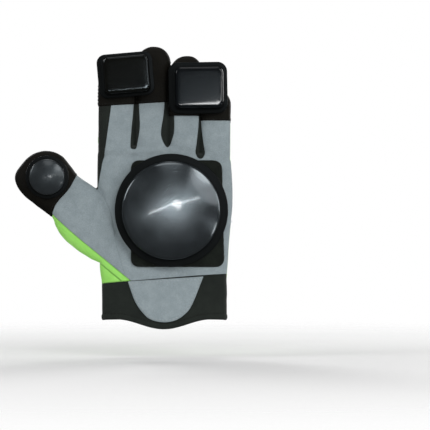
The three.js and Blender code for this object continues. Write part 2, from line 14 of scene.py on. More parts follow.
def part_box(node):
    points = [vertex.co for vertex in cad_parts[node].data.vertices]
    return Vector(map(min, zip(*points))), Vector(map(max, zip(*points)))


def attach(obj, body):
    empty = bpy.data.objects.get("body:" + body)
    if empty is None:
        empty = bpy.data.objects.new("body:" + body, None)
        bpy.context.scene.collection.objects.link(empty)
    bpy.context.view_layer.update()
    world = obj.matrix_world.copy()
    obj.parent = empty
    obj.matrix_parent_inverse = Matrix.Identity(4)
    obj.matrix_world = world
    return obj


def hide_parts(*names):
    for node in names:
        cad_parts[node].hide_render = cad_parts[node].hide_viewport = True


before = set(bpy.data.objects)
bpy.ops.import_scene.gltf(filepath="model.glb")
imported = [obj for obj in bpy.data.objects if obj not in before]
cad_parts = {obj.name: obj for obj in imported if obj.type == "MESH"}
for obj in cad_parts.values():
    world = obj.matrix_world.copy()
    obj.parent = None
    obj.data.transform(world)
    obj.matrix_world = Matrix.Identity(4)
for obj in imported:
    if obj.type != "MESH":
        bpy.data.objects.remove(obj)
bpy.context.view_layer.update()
mm = 0.001  # Blender works in metres
collection = bpy.context.scene.collection
finishes = {}


# the sizes of the hand, as in the CAD
hand = {
    "fingerGap": 1.2, "cuffHeight": 34.0, "crotchHeight": 153.0, "littleDrop": 7.0, "hemDrop": 8.6,
    "backHem": -1.02, "depth": 30.0, "cuffSlimming": 4.0, "wall": 1.5, "voxel": 0.9, "smoothing": 6,
    "rings": 60, "sides": 96,
}
fingers = [
    {"name": "index", "width": 32.0, "reach": 229.0, "lean": 1.0},
    {"name": "middle", "width": 28.6, "reach": 240.7, "lean": 2.2},
    {"name": "ring", "width": 26.8, "reach": 232.5, "lean": 2.4},
    {"name": "little", "width": 26.0, "reach": 203.0, "lean": 0.6},
]
fingerShape = {  # rows: up, width, depth
    "depth": 20.6, "dome": 1.1, "rows": [(-0.3, 0.97, 1.24), (0.14, 1.0, 1.12), (0.3, 1.0, 1.0)],
    "rings": 34, "sides": 56,
}
thumb = {
    "length": 94.0, "width": 48.0, "depth": 25.0, "forward": 3.0, "angle": math.radians(51),
    "rings": 44, "sides": 72,
}
handRows = [  # up, left, right, front, back, squareness of front and back
    (-0.385, 0.95, 0.96, 0.96, 0.96, 2.6, 2.5), (0, 0.955, 0.96, 1, 0.96, 2.8, 2.6),
    (0.18, 0.96, 0.95, 1, 0.97, 3.6, 2.7), (0.36, 0.975, 0.975, 1, 1, 4.4, 2.8),
    (0.56, 0.985, 1.012, 1, 1.03, 4.6, 2.8), (0.8, 0.99, 1.005, 1, 1, 4.4, 2.9),
    (0.94, 0.985, 0.99, 0.92, 0.9, 4, 3),
]
thumbRows = [  # along, towards the wrist, towards the fingers, depth
    (-0.19, 1.04, 0.9, 0.8), (-0.06, 1.14, 0.96, 0.92), (0.127, 1.21, 1, 1.04), (0.255, 1.19, 0.975, 1.02),
    (0.37, 1.04, 0.95, 1), (0.467, 0.87, 0.91, 1), (0.531, 0.875, 0.905, 1), (0.616, 0.89, 0.99, 1),
    (0.743, 0.9, 1.1, 1),
]
shoulderRows = [(0.97, 0.4), (0.9, 0.75), (0.8, 0.95), (0.55, 1.02), (0.25, 1.03)]  # depth, share of the rise
tipDegrees = range(8, 89, 8)  # rings of a round tip
palmHalf = (sum(f["width"] + hand["fingerGap"] for f in fingers) + hand["fingerGap"]) / 2
palmUp = hand["crotchHeight"] - hand["cuffHeight"]
edge = -palmHalf + hand["fingerGap"]
for finger in fingers:
    finger["root"] = edge + finger["width"] / 2
    finger["crotch"] = hand["crotchHeight"] - (hand["littleDrop"] if finger["name"] == "little" else 0)
    edge += finger["width"] + hand["fingerGap"]


def palmAt(across, up):
    # x and z of a place on the palm, across from -1 to 1, up from the cuff to the crotch of the fingers
    return across * palmHalf, hand["cuffHeight"] + up * palmUp


def cuffAt(across, up):
    return across * palmHalf, up * hand["cuffHeight"]


thumbRoot = palmAt(-0.864, 0.376)


def thumbAt(along, across):
    t, a = along * thumb["length"], across * thumb["width"] / 2
    s, c = math.sin(thumb["angle"]), math.cos(thumb["angle"])
    return thumbRoot[0] - s * t - c * a, thumbRoot[1] + c * t - s * a


def fingerAt(finger, across, up):
    lean = finger["lean"] * min(max(up, 0), 1) ** 2
    return (finger["root"] + lean + across * finger["width"] / 2,
            finger["crotch"] + up * (finger["reach"] - finger["crotch"]))


def gapAfter(i, height):
    # x of the gap after a finger, or of a line well outside the first or the last one
    def edgeOf(finger, side):
        return fingerAt(finger, side, (height - finger["crotch"]) / (finger["reach"] - finger["crotch"]))[0]
    if i < 0:
        return edgeOf(fingers[0], -1.4)
    if i + 1 == len(fingers):
        return edgeOf(fingers[i], 1.4)
    return (edgeOf(fingers[i], 1) + edgeOf(fingers[i + 1], -1)) / 2


def smoothstep(value, low, high):
    t = np.clip((value - low) / (high - low), 0, 1)
    return t * t * (3 - 2 * t)


def spline(points, steps=8):
    p = [np.array(q, float) for q in points]
    p = [2 * p[0] - p[1]] + p + [2 * p[-1] - p[-2]]
    out = []
    for a, b, c, d in zip(p, p[1:], p[2:], p[3:]):
        for step in range(steps):
            t = step / steps
            out.append(0.5 * (2 * b + (c - a) * t + (2 * a - 5 * b + 4 * c - d) * t ** 2
                              + (3 * b - a - 3 * c + d) * t ** 3))
    out.append(p[-2])
    return [tuple(q) for q in out]


def roundCorners(corners, radius, steps=6):
    out = []
    for i, corner in enumerate(corners):
        c = np.array(corner, float)
        ends = []
        for other in (corners[i - 1], corners[(i + 1) % len(corners)]):
            d = np.array(other, float) - c
            ends.append(c + d * min(radius / np.linalg.norm(d), 0.5))
        for step in range(steps + 1):
            t = step / steps
            out.append(tuple(ends[0] * (1 - t) ** 2 + 2 * c * t * (1 - t) + ends[1] * t ** 2))
    return out


# the form of the worn glove: lofts of ovals, joined by a remesh
def oval(centre, across, left, right, front, back, squareFront, squareBack, forward, sides):
    angle = np.linspace(0, 2 * np.pi, sides, endpoint=False)
    c, s = np.cos(angle), np.sin(angle)
    power = np.where(s < 0, 2 / squareFront, 2 / squareBack)
    x = np.sign(c) * np.abs(c) ** power * np.where(c < 0, left, right)
    y = np.sign(s) * np.abs(s) ** power * np.where(s < 0, front, back)
    return np.stack([centre[0] + across[0] * x, y - forward, centre[1] + across[1] * x], 1)


def loft(rings, first, last):
    count = len(rings[0])
    points = np.concatenate(rings + [np.array([first, last])])
    faces = []
    for r in range(len(rings) - 1):
        for s in range(count):
            n = (s + 1) % count
            faces.append((r * count + s, r * count + n, (r + 1) * count + n, (r + 1) * count + s))
    top = (len(rings) - 1) * count
    for s in range(count):
        n = (s + 1) % count
        faces.append((len(points) - 2, n, s))
        faces.append((len(points) - 1, top + s, top + n))
    return points, faces


def blendRows(rows, count):
    # smooth steps between the rows of a table, along its first column
    table = np.array(rows, float)
    keys = table[:, 0]
    wanted = np.linspace(keys[0], keys[-1], count)
    slopes = np.gradient(table, keys, axis=0)
    out = []
    for key in wanted:
        i = min(np.searchsorted(keys, key, side="right") - 1, len(keys) - 2)
        h = keys[i + 1] - keys[i]
        t = (key - keys[i]) / h
        out.append((2 * t ** 3 - 3 * t ** 2 + 1) * table[i] + (t ** 3 - 2 * t ** 2 + t) * h * slopes[i]
                   + (3 * t ** 2 - 2 * t ** 3) * table[i + 1] + (t ** 3 - t ** 2) * h * slopes[i + 1])
    return out


def handLoft():
    half = hand["depth"] / 2
    rings = []
    for up, left, right, front, back, squareFront, squareBack in blendRows(handRows, hand["rings"]):
        slim = 1 - hand["cuffSlimming"] / (2 * palmHalf) * (1 - smoothstep(up, 0, 0.18))
        rings.append(oval(palmAt(0, up), (1, 0), left * slim * palmHalf, right * slim * palmHalf,
                          front * half, back * half, squareFront, squareBack, 0, hand["sides"]))
    shoulder = rings[-1]
    for share, rise in shoulderRows:
        ring = shoulder.copy()
        ring[:, 0] *= 0.5 + share / 2
        ring[:, 1] *= share
        ring[:, 2] += rise * (hand["crotchHeight"] - shoulder[0, 2])
        rings.append(ring)
    middleEnd = fingers[1]["root"] + fingers[1]["width"] / 2
    ringEnd = fingers[2]["root"] + fingers[2]["width"] / 2
    for ring in rings:
        high = smoothstep(ring[:, 2], palmAt(0, 0.7)[1], palmAt(0, 0.94)[1])
        ring[:, 2] -= hand["littleDrop"] * high * smoothstep(ring[:, 0], middleEnd, ringEnd)
    return loft(rings, (0, 0, rings[0][0, 2]), (0, 0, hand["crotchHeight"]))


def fingerLoft(finger, i):
    half, depth = finger["width"] / 2, fingerShape["depth"] / 2
    length = finger["reach"] - finger["crotch"]
    dome = half * fingerShape["dome"]
    touch = hand["fingerGap"] / 2 + 0.15  # neighbours lie against each other
    left, right = half + (touch if i > 0 else 0), half + (touch if i < 3 else 0)
    straight = 1 - dome / length
    rings = []

    def addRing(height, wide, deep, tip=1.0):
        x = fingerAt(finger, 0, (height - finger["crotch"]) / length)[0]
        rings.append(oval((x, height), (1, 0), left * wide, right * wide, depth * deep, depth * deep * 0.9,
                          3 - 0.6 * (1 - tip), 2.6 - 0.3 * (1 - tip), 0, fingerShape["sides"]))
    rows = fingerShape["rows"] + [(straight, 1.0, 1.0)]
    for up, wide, deep in blendRows(rows, fingerShape["rings"]):
        addRing(finger["crotch"] + up * length, min(wide, 1.0), deep)
    for degrees in tipDegrees:
        angle = math.radians(degrees)
        shrink = math.cos(angle)
        addRing(finger["reach"] - dome + dome * math.sin(angle), shrink ** 0.92, shrink ** 0.75, shrink)
    foot, tip = fingerAt(finger, 0, rows[0][0]), fingerAt(finger, 0, 1)
    return loft(rings, (foot[0], 0, foot[1]), (tip[0], 0, tip[1]))


def thumbLoft():
    half, depth = thumb["width"] / 2, thumb["depth"] / 2
    over = (-math.cos(thumb["angle"]), -math.sin(thumb["angle"]))

    def ring(along, wrist, fingerSide, deep, square=1.0):
        return oval(thumbAt(along, 0), over, fingerSide * half, wrist * half, deep * depth,
                    deep * depth * 0.92, 2.2 + 0.8 * square, 2 + 0.6 * square, thumb["forward"],
                    thumb["sides"])
    rings = [ring(*row) for row in blendRows(thumbRows, thumb["rings"])]
    last = thumbRows[-1]
    for degrees in tipDegrees:
        angle = math.radians(degrees)
        shrink = math.cos(angle)
        rings.append(ring(last[0] + (1 - last[0]) * math.sin(angle), last[1] * shrink ** 0.52,
                          last[2] * shrink ** 0.95, shrink ** 0.75, shrink))
    foot, tip = thumbAt(thumbRows[0][0], 0), thumbAt(1, 0)
    return loft(rings, (foot[0], -thumb["forward"], foot[1]), (tip[0], -thumb["forward"], tip[1]))


def placed(name, data):
    piece = bpy.data.objects.new(name, data)
    collection.objects.link(piece)
    return piece


def plainMesh(name, points, faces, edges=()):
    mesh = bpy.data.meshes.new(name)
    mesh.from_pydata((np.asarray(points) * mm).tolist(), edges, [tuple(int(i) for i in f) for f in faces])
    mesh.update()
    return placed(name, mesh)


def evaluated(piece):
    bpy.context.view_layer.update()
    depsgraph = bpy.context.evaluated_depsgraph_get()
    return bpy.data.meshes.new_from_object(piece.evaluated_get(depsgraph), depsgraph=depsgraph)


def gloveSkin():
    # points of the glove's form with their normals, and its triangles
    points, faces = [], []
    for part in [handLoft(), thumbLoft()] + [fingerLoft(f, i) for i, f in enumerate(fingers)]:
        faces += [tuple(len(points) + i for i in face) for face in part[1]]
        points += [tuple(p) for p in part[0]]
    form = plainMesh("gloveForm", points, faces)
    remesh = form.modifiers.new("union", "REMESH")
    remesh.mode, remesh.voxel_size = "VOXEL", hand["voxel"] * mm
    soften = form.modifiers.new("soften", "SMOOTH")
    soften.factor, soften.iterations = 0.5, hand["smoothing"]
    mesh = evaluated(form)
    mesh.calc_loop_triangles()
    skin = np.zeros((len(mesh.vertices), 6))
    co = np.zeros(len(mesh.vertices) * 3)
    mesh.vertices.foreach_get("co", co)
    skin[:, :3] = co.reshape(-1, 3) / mm
    mesh.vertex_normals.foreach_get("vector", co)
    skin[:, 3:] = co.reshape(-1, 3)
    triangles = np.zeros(len(mesh.loop_triangles) * 3, np.int64)
    mesh.loop_triangles.foreach_get("vertices", triangles)
    bpy.data.objects.remove(form)
    return skin, triangles.reshape(-1, 3)


# cutting the skin along seams
def outlineDistance(points, outline):
    # how far each point lies outside an outline in x and z, and less than nothing inside it
    x, z = points[:, 0], points[:, 2]
    nearest = np.full(len(points), 1e12)
    inside = np.zeros(len(points), bool)
    for (ax, az), (bx, bz) in zip(outline, outline[1:] + outline[:1]):
        ex, ez = bx - ax, bz - az
        t = np.clip(((x - ax) * ex + (z - az) * ez) / (ex * ex + ez * ez + 1e-12), 0, 1)
        nearest = np.minimum(nearest, (x - ax - ex * t) ** 2 + (z - az - ez * t) ** 2)
        if az != bz:
            inside ^= ((az <= z) != (bz <= z)) & (x < ax + (z - az) * ex / ez)
    return np.where(inside, -1, 1) * np.sqrt(nearest)


def cutAlong(points, triangles, values):
    # cuts the triangles where the values pass zero; also gives each one's parent, which lie on the low side,
    # and the edges of the cut
    below = values[triangles] < 0
    count = below.sum(1)
    whole = (count == 0) | (count == 3)
    mixed = np.flatnonzero(~whole)
    rows = np.arange(len(mixed))
    few = count[mixed] == 1
    lone = np.where(few, below[mixed].argmax(1), (~below[mixed]).argmax(1))
    a, b, c = (triangles[mixed][rows, (lone + k) % 3] for k in range(3))
    pairs = np.sort(np.stack([np.concatenate([a, a]), np.concatenate([b, c])], 1), axis=1)
    keys, inverse = np.unique(pairs[:, 0] * len(points) + pairs[:, 1], return_inverse=True)
    low, high = keys // len(points), keys % len(points)
    t = (values[low] / (values[low] - values[high]))[:, None]
    fresh = points[low] * (1 - t) + points[high] * t
    ab, ac = len(points) + inverse[:len(mixed)], len(points) + inverse[len(mixed):]
    cut = [triangles[whole], np.stack([a, ab, ac], 1), np.stack([ab, b, c], 1), np.stack([ab, c, ac], 1)]
    parents = np.concatenate([np.flatnonzero(whole), mixed, mixed, mixed])
    inside = np.concatenate([count[whole] == 3, few, ~few, ~few])
    return np.concatenate([points, fresh]), np.concatenate(cut), parents, inside, np.stack([ab, ac], 1)


def used(points, triangles):
    kept, inverse = np.unique(triangles, return_inverse=True)
    return points[kept], inverse.reshape(-1, 3)


def rimEdges(triangles):
    edges = np.concatenate([triangles[:, [0, 1]], triangles[:, [1, 2]], triangles[:, [2, 0]]])
    _, first, counts = np.unique(np.sort(edges, axis=1), axis=0, return_index=True, return_counts=True)
    return edges[first[counts == 1]]


def withoutScraps(points, triangles, least=4.0):
    # drops loose bits of cloth smaller than the least area
    label = np.arange(len(points))
    while True:
        low = label[triangles].min(1)
        fresh = label.copy()
        for k in range(3):
            np.minimum.at(fresh, triangles[:, k], low)
        fresh = fresh[fresh]
        if (fresh == label).all():
            break
        label = fresh
    a, b, c = (points[triangles[:, k], :3] for k in range(3))
    areas = np.bincount(label[triangles[:, 0]], np.linalg.norm(np.cross(b - a, c - a), axis=1) / 2)
    return triangles[areas[label[triangles[:, 0]]] > least]


def rimDistance(points, triangles):
    # how far each point lies from the rim of its cloth
    edges = rimEdges(triangles)
    a, b = points[edges[:, 0], :3], points[edges[:, 1], :3]
    marks = np.concatenate([a, b] + [a + (b - a) * t for t in (0.33, 0.67)])
    tree = KDTree(len(marks))
    for i, mark in enumerate(marks):
        tree.insert(mark, i)
    tree.balance()
    return np.array([tree.find(p)[2] for p in points[:, :3]])


def lines(points, segments):
    # joins loose segments into lines
    nearby = {}
    for a, b in segments.tolist():
        nearby.setdefault(a, []).append(b)
        nearby.setdefault(b, []).append(a)
    starts = [p for p, n in nearby.items() if len(n) == 1] + list(nearby)
    seen, found = set(), []
    for start in starts:
        if start in seen:
            continue
        line, at = [start], start
        seen.add(start)
        while True:
            following = [n for n in nearby[at] if n not in seen]
            if not following:
                break
            at = following[0]
            seen.add(at)
            line.append(at)
        if len(line) > 3:
            if len(nearby[start]) == 2 and start in nearby[line[-1]]:
                line.append(start)
            found.append(points[line])
    return found


def levelLines(points, triangles, values):
    cutPoints, _, _, _, segments = cutAlong(points, triangles, values)
    return lines(cutPoints, segments)


def finishPiece(piece, material, nodes=()):
    piece.data.materials.clear()
    for one in (material if isinstance(material, (list, tuple)) else [material]):
        piece.data.materials.append(one)
    piece.data.polygons.foreach_set("use_smooth", [True] * len(piece.data.polygons))
    if nodes:
        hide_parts(*nodes)
    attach(piece, "root")
    return piece


def clothPiece(name, points, triangles, look, nodes=()):
    # look: slot, raise, roll (depth, width) at the rim, puff (height, width), ripple, shape, thickness, ribs,
    # stitches (their ways in from the rim) and thread
    points, triangles = used(points, withoutScraps(points, triangles))
    distance = rimDistance(points, triangles)
    points = np.concatenate([points, distance[:, None]], 1)
    depth, width = look.get("roll", (0.8, 1.8))
    for level in (0.25 * width, 0.6 * width, width):
        points, triangles, _, _, _ = cutAlong(points, triangles, level - points[:, 6] + 1e-5)
    points, triangles = used(points, triangles)
    distance = points[:, 6]
    inner = np.clip(1 - distance / width, 0, 1)
    lift = look.get("raise", 0) - depth * (1 - np.sqrt(np.clip(1 - inner ** 2, 0, 1)))
    height, spread = look.get("puff", (0, 1))
    lift += height * smoothstep(distance, 0, spread)
    lift += look.get("ripple", 0.12) * ripples(points) * smoothstep(distance, 0, 5)
    if "shape" in look:
        lift += look["shape"](points)
    normal = points[:, 3:6] / np.linalg.norm(points[:, 3:6], axis=1)[:, None]
    outside = points[:, :3] + normal * lift[:, None]
    inside = outside - normal * look.get("thickness", hand["wall"])
    rim, count = rimEdges(triangles), len(points)
    rimFaces = np.stack([rim[:, 1], rim[:, 0], rim[:, 0] + count, rim[:, 1] + count], 1)
    faces = triangles.tolist() + (triangles[:, ::-1] + count).tolist() + rimFaces.tolist()
    piece = plainMesh(name, np.concatenate([outside, inside]), faces)
    fade = piece.data.attributes.new("inward", "FLOAT", "POINT")
    fade.data.foreach_set("value", np.concatenate([distance, distance]).astype(np.float32))
    sides = np.zeros(len(faces), np.int32)
    sides[len(triangles):2 * len(triangles)] = 1
    piece.data.polygons.foreach_set("material_index", sides)
    finishPiece(piece, [finishes[look["slot"]], finishes["lining"]], nodes)
    if "ribs" in look:
        look["ribs"](piece)
    for offset in look.get("stitches", ()):
        stitchLines.append((name, look, offset, points, triangles, distance, lift, normal))
    return piece


stitchLines = []


def ripples(points):
    x, y, z = points[:, 0], points[:, 1], points[:, 2]
    return (np.sin(0.19 * x + 0.11 * z + 0.7) * np.sin(0.23 * z - 0.07 * x + 0.2 * y)
            + 0.5 * np.sin(0.41 * x - 0.33 * z + 1.9) * np.sin(0.37 * z + 0.29 * x))


# node trees: fill sets a node's inputs to values or links them, and add makes a node the same way
def fill(tree, node, inputs):
    for key, value in inputs.items():
        if isinstance(value, bpy.types.NodeSocket):
            tree.links.new(value, node.inputs[key])
        else:
            node.inputs[key].default_value = value


def nodeAdder(tree):
    def add(kind, inputs=None, **settings):
        node = tree.nodes.new(kind)
        for key, value in settings.items():
            setattr(node, key, value)
        fill(tree, node, inputs or {})
        return node
    return add


def newFinish(name):
    # a new material: what adds nodes to it, what sets its shader's inputs, and Object coordinates
    finishes[name] = bpy.data.materials.new(name)
    finishes[name].use_nodes = True
    tree = finishes[name].node_tree
    add = nodeAdder(tree)

    def paint(inputs):
        fill(tree, tree.nodes["Principled BSDF"], inputs)
    return add, paint, add("ShaderNodeTexCoord").outputs["Object"]


def noise(add, place, scale, detail, roughness=0.5):
    return add("ShaderNodeTexNoise", {"Vector": place, "Scale": scale, "Detail": detail,
                                      "Roughness": roughness}).outputs["Fac"]


def maths(add, operation, a, b=0.0):
    return add("ShaderNodeMath", {0: a, 1: b}, operation=operation).outputs["Value"]


def vectorMaths(add, operation, a, b=(0, 0, 0), result="Vector"):
    return add("ShaderNodeVectorMath", {0: a, 1: b}, operation=operation).outputs[result]


def mapped(add, value, low, high, toLow, toHigh):
    return add("ShaderNodeMapRange", {"Value": value, "From Min": low, "From Max": high, "To Min": toLow,
                                      "To Max": toHigh}).outputs["Result"]


def multiplied(add, a, b):
    return add("ShaderNodeMix", {0: 1.0, 6: a, 7: b}, data_type="RGBA", blend_type="MULTIPLY").outputs[2]


def bumped(add, height, strength, relief):
    return add("ShaderNodeBump", {"Height": height, "Strength": strength,
                                  "Distance": relief * mm}).outputs["Normal"]


def linear(colour):
    # a colour of 0 to 255 as Blender's own values
    return tuple(((c / 255 + 0.055) / 1.055) ** 2.4 if c > 10 else c / 255 / 12.92 for c in colour) + (1.0,)


def ramp(add, value, low, high, fromLow=0.3, fromHigh=0.7):
    node = add("ShaderNodeValToRGB", {"Fac": value})
    node.color_ramp.elements[0].position, node.color_ramp.elements[0].color = fromLow, low
    node.color_ramp.elements[1].position, node.color_ramp.elements[1].color = fromHigh, high
    return node.outputs["Color"]


# seamWidth and seamShade set the painted shade at each cloth's rim: its width in millimetres and how dark it
# gets
clothBasis = {"mottleScale": 90.0, "grainScale": 1300.0, "speck": 0.12, "bump": 0.6, "relief": 0.25,
              "roughSpread": 0.06, "sheen": 0.2, "specular": 0.2, "seamWidth": 1.2, "seamShade": 0.72}
knitWaves = [("Z", 1.0), ("DIAGONAL", 0.8)]  # direction of the rows, and how close they lie
waveBand = 0.314  # metres from row to row in a wave texture of scale 1


def clothFinish(name, look):
    # soft cloth: mottled colour with painted shade that darkens it towards the seams, and grain and knit in
    # the bump
    look = {**clothBasis, **look}
    add, paint, place = newFinish(name)
    broad = noise(add, place, look["mottleScale"], 6.0, 0.62)
    fine = noise(add, place, look["grainScale"], 4.0, 0.7)
    tone = ramp(add, broad, linear(look["dark"]), linear(look["light"]), 0.34, 0.66)
    speck = ramp(add, fine, (1 - look["speck"],) * 3 + (1,), (1 + look["speck"],) * 3 + (1,), 0.35, 0.65)
    # painted seam shade: the colour darkens to seamShade within seamWidth of the cloth's rim
    inward = add("ShaderNodeAttribute", attribute_name="inward").outputs["Fac"]
    paintedSeamShade = mapped(add, inward, 0.0, look["seamWidth"], look["seamShade"], 1.0)
    height = fine
    if "knit" in look:
        pitch = look["knit"] * mm
        rows, columns = (add("ShaderNodeTexWave", {
            "Vector": place, "Scale": waveBand / pitch * share, "Distortion": 0.6, "Detail": 1.0,
            "Detail Scale": 3.0}, bands_direction=way).outputs["Fac"] for way, share in knitWaves)
        height = maths(add, "ADD", maths(add, "MULTIPLY", rows, columns), fine)
    low, high = look["rough"] - look["roughSpread"], look["rough"] + look["roughSpread"]
    paint({"Base Color": multiplied(add, multiplied(add, tone, speck), paintedSeamShade),
           "Normal": bumped(add, height, look["bump"], look["relief"]),
           "Roughness": mapped(add, fine, 0.0, 1.0, low, high), "Sheen Weight": look["sheen"],
           "Sheen Roughness": 0.5, "Specular IOR Level": look["specular"]})


clothLooks = {  # what differs from clothBasis; knit and relief in millimetres
    "suede": {"dark": (128, 139, 143), "light": (138, 149, 153), "mottleScale": 120.0, "speck": 0.13,
              "rough": 0.95, "sheen": 0.05, "seamShade": 0.95},
    "lime_cloth": {"dark": (142, 209, 93), "light": (153, 219, 106), "mottleScale": 40.0,
                   "grainScale": 1800.0, "speck": 0.035, "bump": 0.45, "relief": 0.2, "rough": 0.85,
                   "sheen": 0.1, "knit": 0.9, "seamShade": 0.6},
    "black_stretch": {"dark": (23, 28, 25), "light": (31, 36, 32), "mottleScale": 60.0,
                      "grainScale": 1600.0, "rough": 0.88, "sheen": 0.06, "knit": 1.0},
    "ribbed_knuckle": {"dark": (20, 25, 23), "light": (28, 34, 31), "mottleScale": 70.0,
                       "grainScale": 1600.0, "rough": 0.85, "sheen": 0.08, "knit": 1.1},
    "strap_loop": {"dark": (14, 18, 15), "light": (23, 28, 23), "mottleScale": 150.0, "grainScale": 900.0,
                   "speck": 0.2, "bump": 0.9, "relief": 0.5, "rough": 0.97, "sheen": 0.05},
    "lining": {"dark": (46, 48, 48), "light": (58, 60, 60), "speck": 0.1, "relief": 0.3, "rough": 0.97,
               "sheen": 0.1},
    "white_piping": {"dark": (236, 236, 240), "light": (250, 250, 252), "grainScale": 1800.0,
                     "speck": 0.02, "bump": 0.35, "relief": 0.12, "rough": 0.55, "knit": 0.7,
                     "seamShade": 1.0, "specular": 0.5},
    "hook_tape": {"dark": (14, 15, 14), "light": (24, 25, 24), "mottleScale": 120.0, "grainScale": 1100.0,
                  "speck": 0.3, "bump": 1.0, "relief": 0.6, "rough": 0.7, "sheen": 0.0, "knit": 1.2,
                  "specular": 0.4},
}
for finishName, finishLook in clothLooks.items():
    clothFinish(finishName, finishLook)


leather = {"dark": (8, 7, 4), "light": (17, 15, 9), "pores": 620.0, "folds": 95.0, "bump": 0.45,
           "relief": 0.35, "rough": (0.62, 0.82), "specular": 0.12}


def leatherFinish(name, look):
    add, paint, place = newFinish(name)
    pores = add("ShaderNodeTexVoronoi", {"Vector": place, "Scale": look["pores"]}, feature="SMOOTH_F1")
    folds = noise(add, place, look["folds"], 7.0, 0.65)
    height = maths(add, "ADD", pores.outputs["Distance"], folds)
    paint({"Base Color": ramp(add, folds, linear(look["dark"]), linear(look["light"]), 0.35, 0.7),
           "Normal": bumped(add, height, look["bump"], look["relief"]),
           "Roughness": mapped(add, folds, 0.0, 1.0, *look["rough"]), "Specular IOR Level": look["specular"]})


leatherFinish("black_leather", leather)
threads = {  # colour, roughness, specular level
    "greyThread": ((168, 176, 180), 0.8, 0.2), "blackThread": ((24, 25, 23), 0.8, 0.2),
    "glossThread": ((12, 13, 12), 0.25, 0.9),
}


def threadFinish(name, colour, rough, specular):
    add, paint, place = newFinish(name)
    twist = noise(add, place, 2600.0, 2.0)
    dark = tuple(c * 0.75 for c in colour)
    paint({"Base Color": ramp(add, twist, linear(dark), linear(colour)), "Roughness": rough,
           "Normal": bumped(add, twist, 0.5, 0.1), "Specular IOR Level": specular})


for threadName, thread in threads.items():
    threadFinish(threadName, *thread)


def puckFinish(name, look):
    # moulded plastic: haze in the roughness, and turning marks about a centre where it has one
    add, paint, place = newFinish(name)
    haze = noise(add, place, 60.0, 8.0, 0.65)
    height = haze
    if "centre" in look:
        offset = vectorMaths(add, "SUBTRACT", place, tuple(c * mm for c in look["centre"]))
        flat = vectorMaths(add, "MULTIPLY", offset, (1, 0, 1))
        radius = vectorMaths(add, "LENGTH", flat, result="Value")
        marks = add("ShaderNodeTexNoise", {"W": radius, "Scale": 900.0, "Detail": 3.0},
                    noise_dimensions="1D").outputs["Fac"]
        height = add("ShaderNodeMix", {0: 0.6, 2: marks, 3: haze}, data_type="FLOAT").outputs[0]
        paint({"Tangent": vectorMaths(add, "NORMALIZE", flat), "Anisotropic": look["turned"]})
    if "bump" in look:
        paint({"Normal": bumped(add, height, look["bump"], 0.02)})
    low, high = look["rough"] - look["roughSpread"], look["rough"] + look["roughSpread"]
    paint({"Base Color": ramp(add, haze, linear(look["dark"]), linear(look["light"]), 0.35, 0.65),
           "Roughness": mapped(add, height, 0.3, 0.7, low, high), "Specular IOR Level": look["specular"],
           "Specular Tint": (0.78, 0.92, 1.0, 1.0), "Coat Weight": look["coat"],
           "Coat Roughness": look["coatRough"]})


puckLooks = {
    "puckFlange": {"dark": (3, 3, 2), "light": (8, 8, 7), "rough": 0.55, "roughSpread": 0.06, "bump": 0.3,
                   "specular": 0.12, "coat": 0.0, "coatRough": 0.3},
    "palmDome": {"dark": (6, 9, 11), "light": (12, 15, 18), "rough": 0.22, "roughSpread": 0.07,
                 "specular": 0.85, "coat": 0.42, "coatRough": 0.06, "centre": (12.5, 0, 102.5),
                 "turned": 0.8},
    "thumbDome": {"dark": (22, 25, 27), "light": (32, 35, 37), "rough": 0.34, "roughSpread": 0.03,
                  "specular": 0.42, "coat": 0.25, "coatRough": 0.14, "centre": (-101.6, 0, 125.4),
                  "turned": 0.3},
    "blockOne": {"dark": (6, 6, 5), "light": (12, 12, 9), "rough": 0.1, "roughSpread": 0.01,
                 "specular": 0.16, "coat": 0.0, "coatRough": 0.12},
    "blockTwo": {"dark": (6, 8, 10), "light": (11, 14, 17), "rough": 0.17, "roughSpread": 0.0,
                 "specular": 0.05, "coat": 0.3, "coatRough": 0.05},
}
for finishName, finishLook in puckLooks.items():
    puckFinish(finishName, finishLook)
print("finishes made")


far = 500.0  # well past the glove
rayStart = 200.0  # in front of the hand or behind it, from where rays look for its skin
skin, skinTriangles = gloveSkin()
print("glove form:", len(skinTriangles), "triangles")

# outlines of the panels, in the plane of the palm
cuffTop = spline([cuffAt(-1.2, 0.87), cuffAt(-0.54, 0.99), cuffAt(0.58, 1.15), cuffAt(1.2, 1.19)])
thumbSeam = spline([palmAt(-0.99, 0.676), palmAt(-0.88, 0.61), palmAt(-0.79, 0.52), palmAt(-0.742, 0.42),
                    palmAt(-0.7, 0.27), palmAt(-0.62, 0.12), palmAt(-0.5, -0.08)])
backThumbSeam = spline([palmAt(-0.99, 0.676), palmAt(-0.94, 0.55), palmAt(-0.915, 0.34), palmAt(-0.88, 0.13),
                        palmAt(-0.86, -0.05)], 4)
knuckleLine = spline([palmAt(-1.1, 0.625), palmAt(-0.77, 0.638), palmAt(-0.2, 0.618), palmAt(0.34, 0.555),
                      palmAt(0.95, 0.445), palmAt(1.1, 0.41)])
aboveKnuckleLine = knuckleLine + [(far, far), (-far, far)]


def hemHeight(x):
    swing = np.clip(np.abs(np.asarray(x) / palmHalf) / 0.7, 0, 1)
    return -hand["hemDrop"] * np.cos(swing * np.pi / 2) ** 2


hemLine = [(x, float(hemHeight(x))) for x in np.linspace(-80, 80, 81)]
belowHem = hemLine + [(far, 0), (far, -far), (-far, -far), (-far, 0)]
belowBackHem = [(-far, hand["backHem"]), (far, hand["backHem"]), (far, -far), (-far, -far)]

capRows = {  # palm edge and its slope, back edge and its slope, as shares of the finger's length
    "index": (0.47, 0.06, 0.6, -0.4), "middle": (0.43, 0.06, 0.67, -0.25),
    "ring": (0.333, 0, 0.566, -0.5), "little": (0.512, 0, 0.555, -0.36),
}


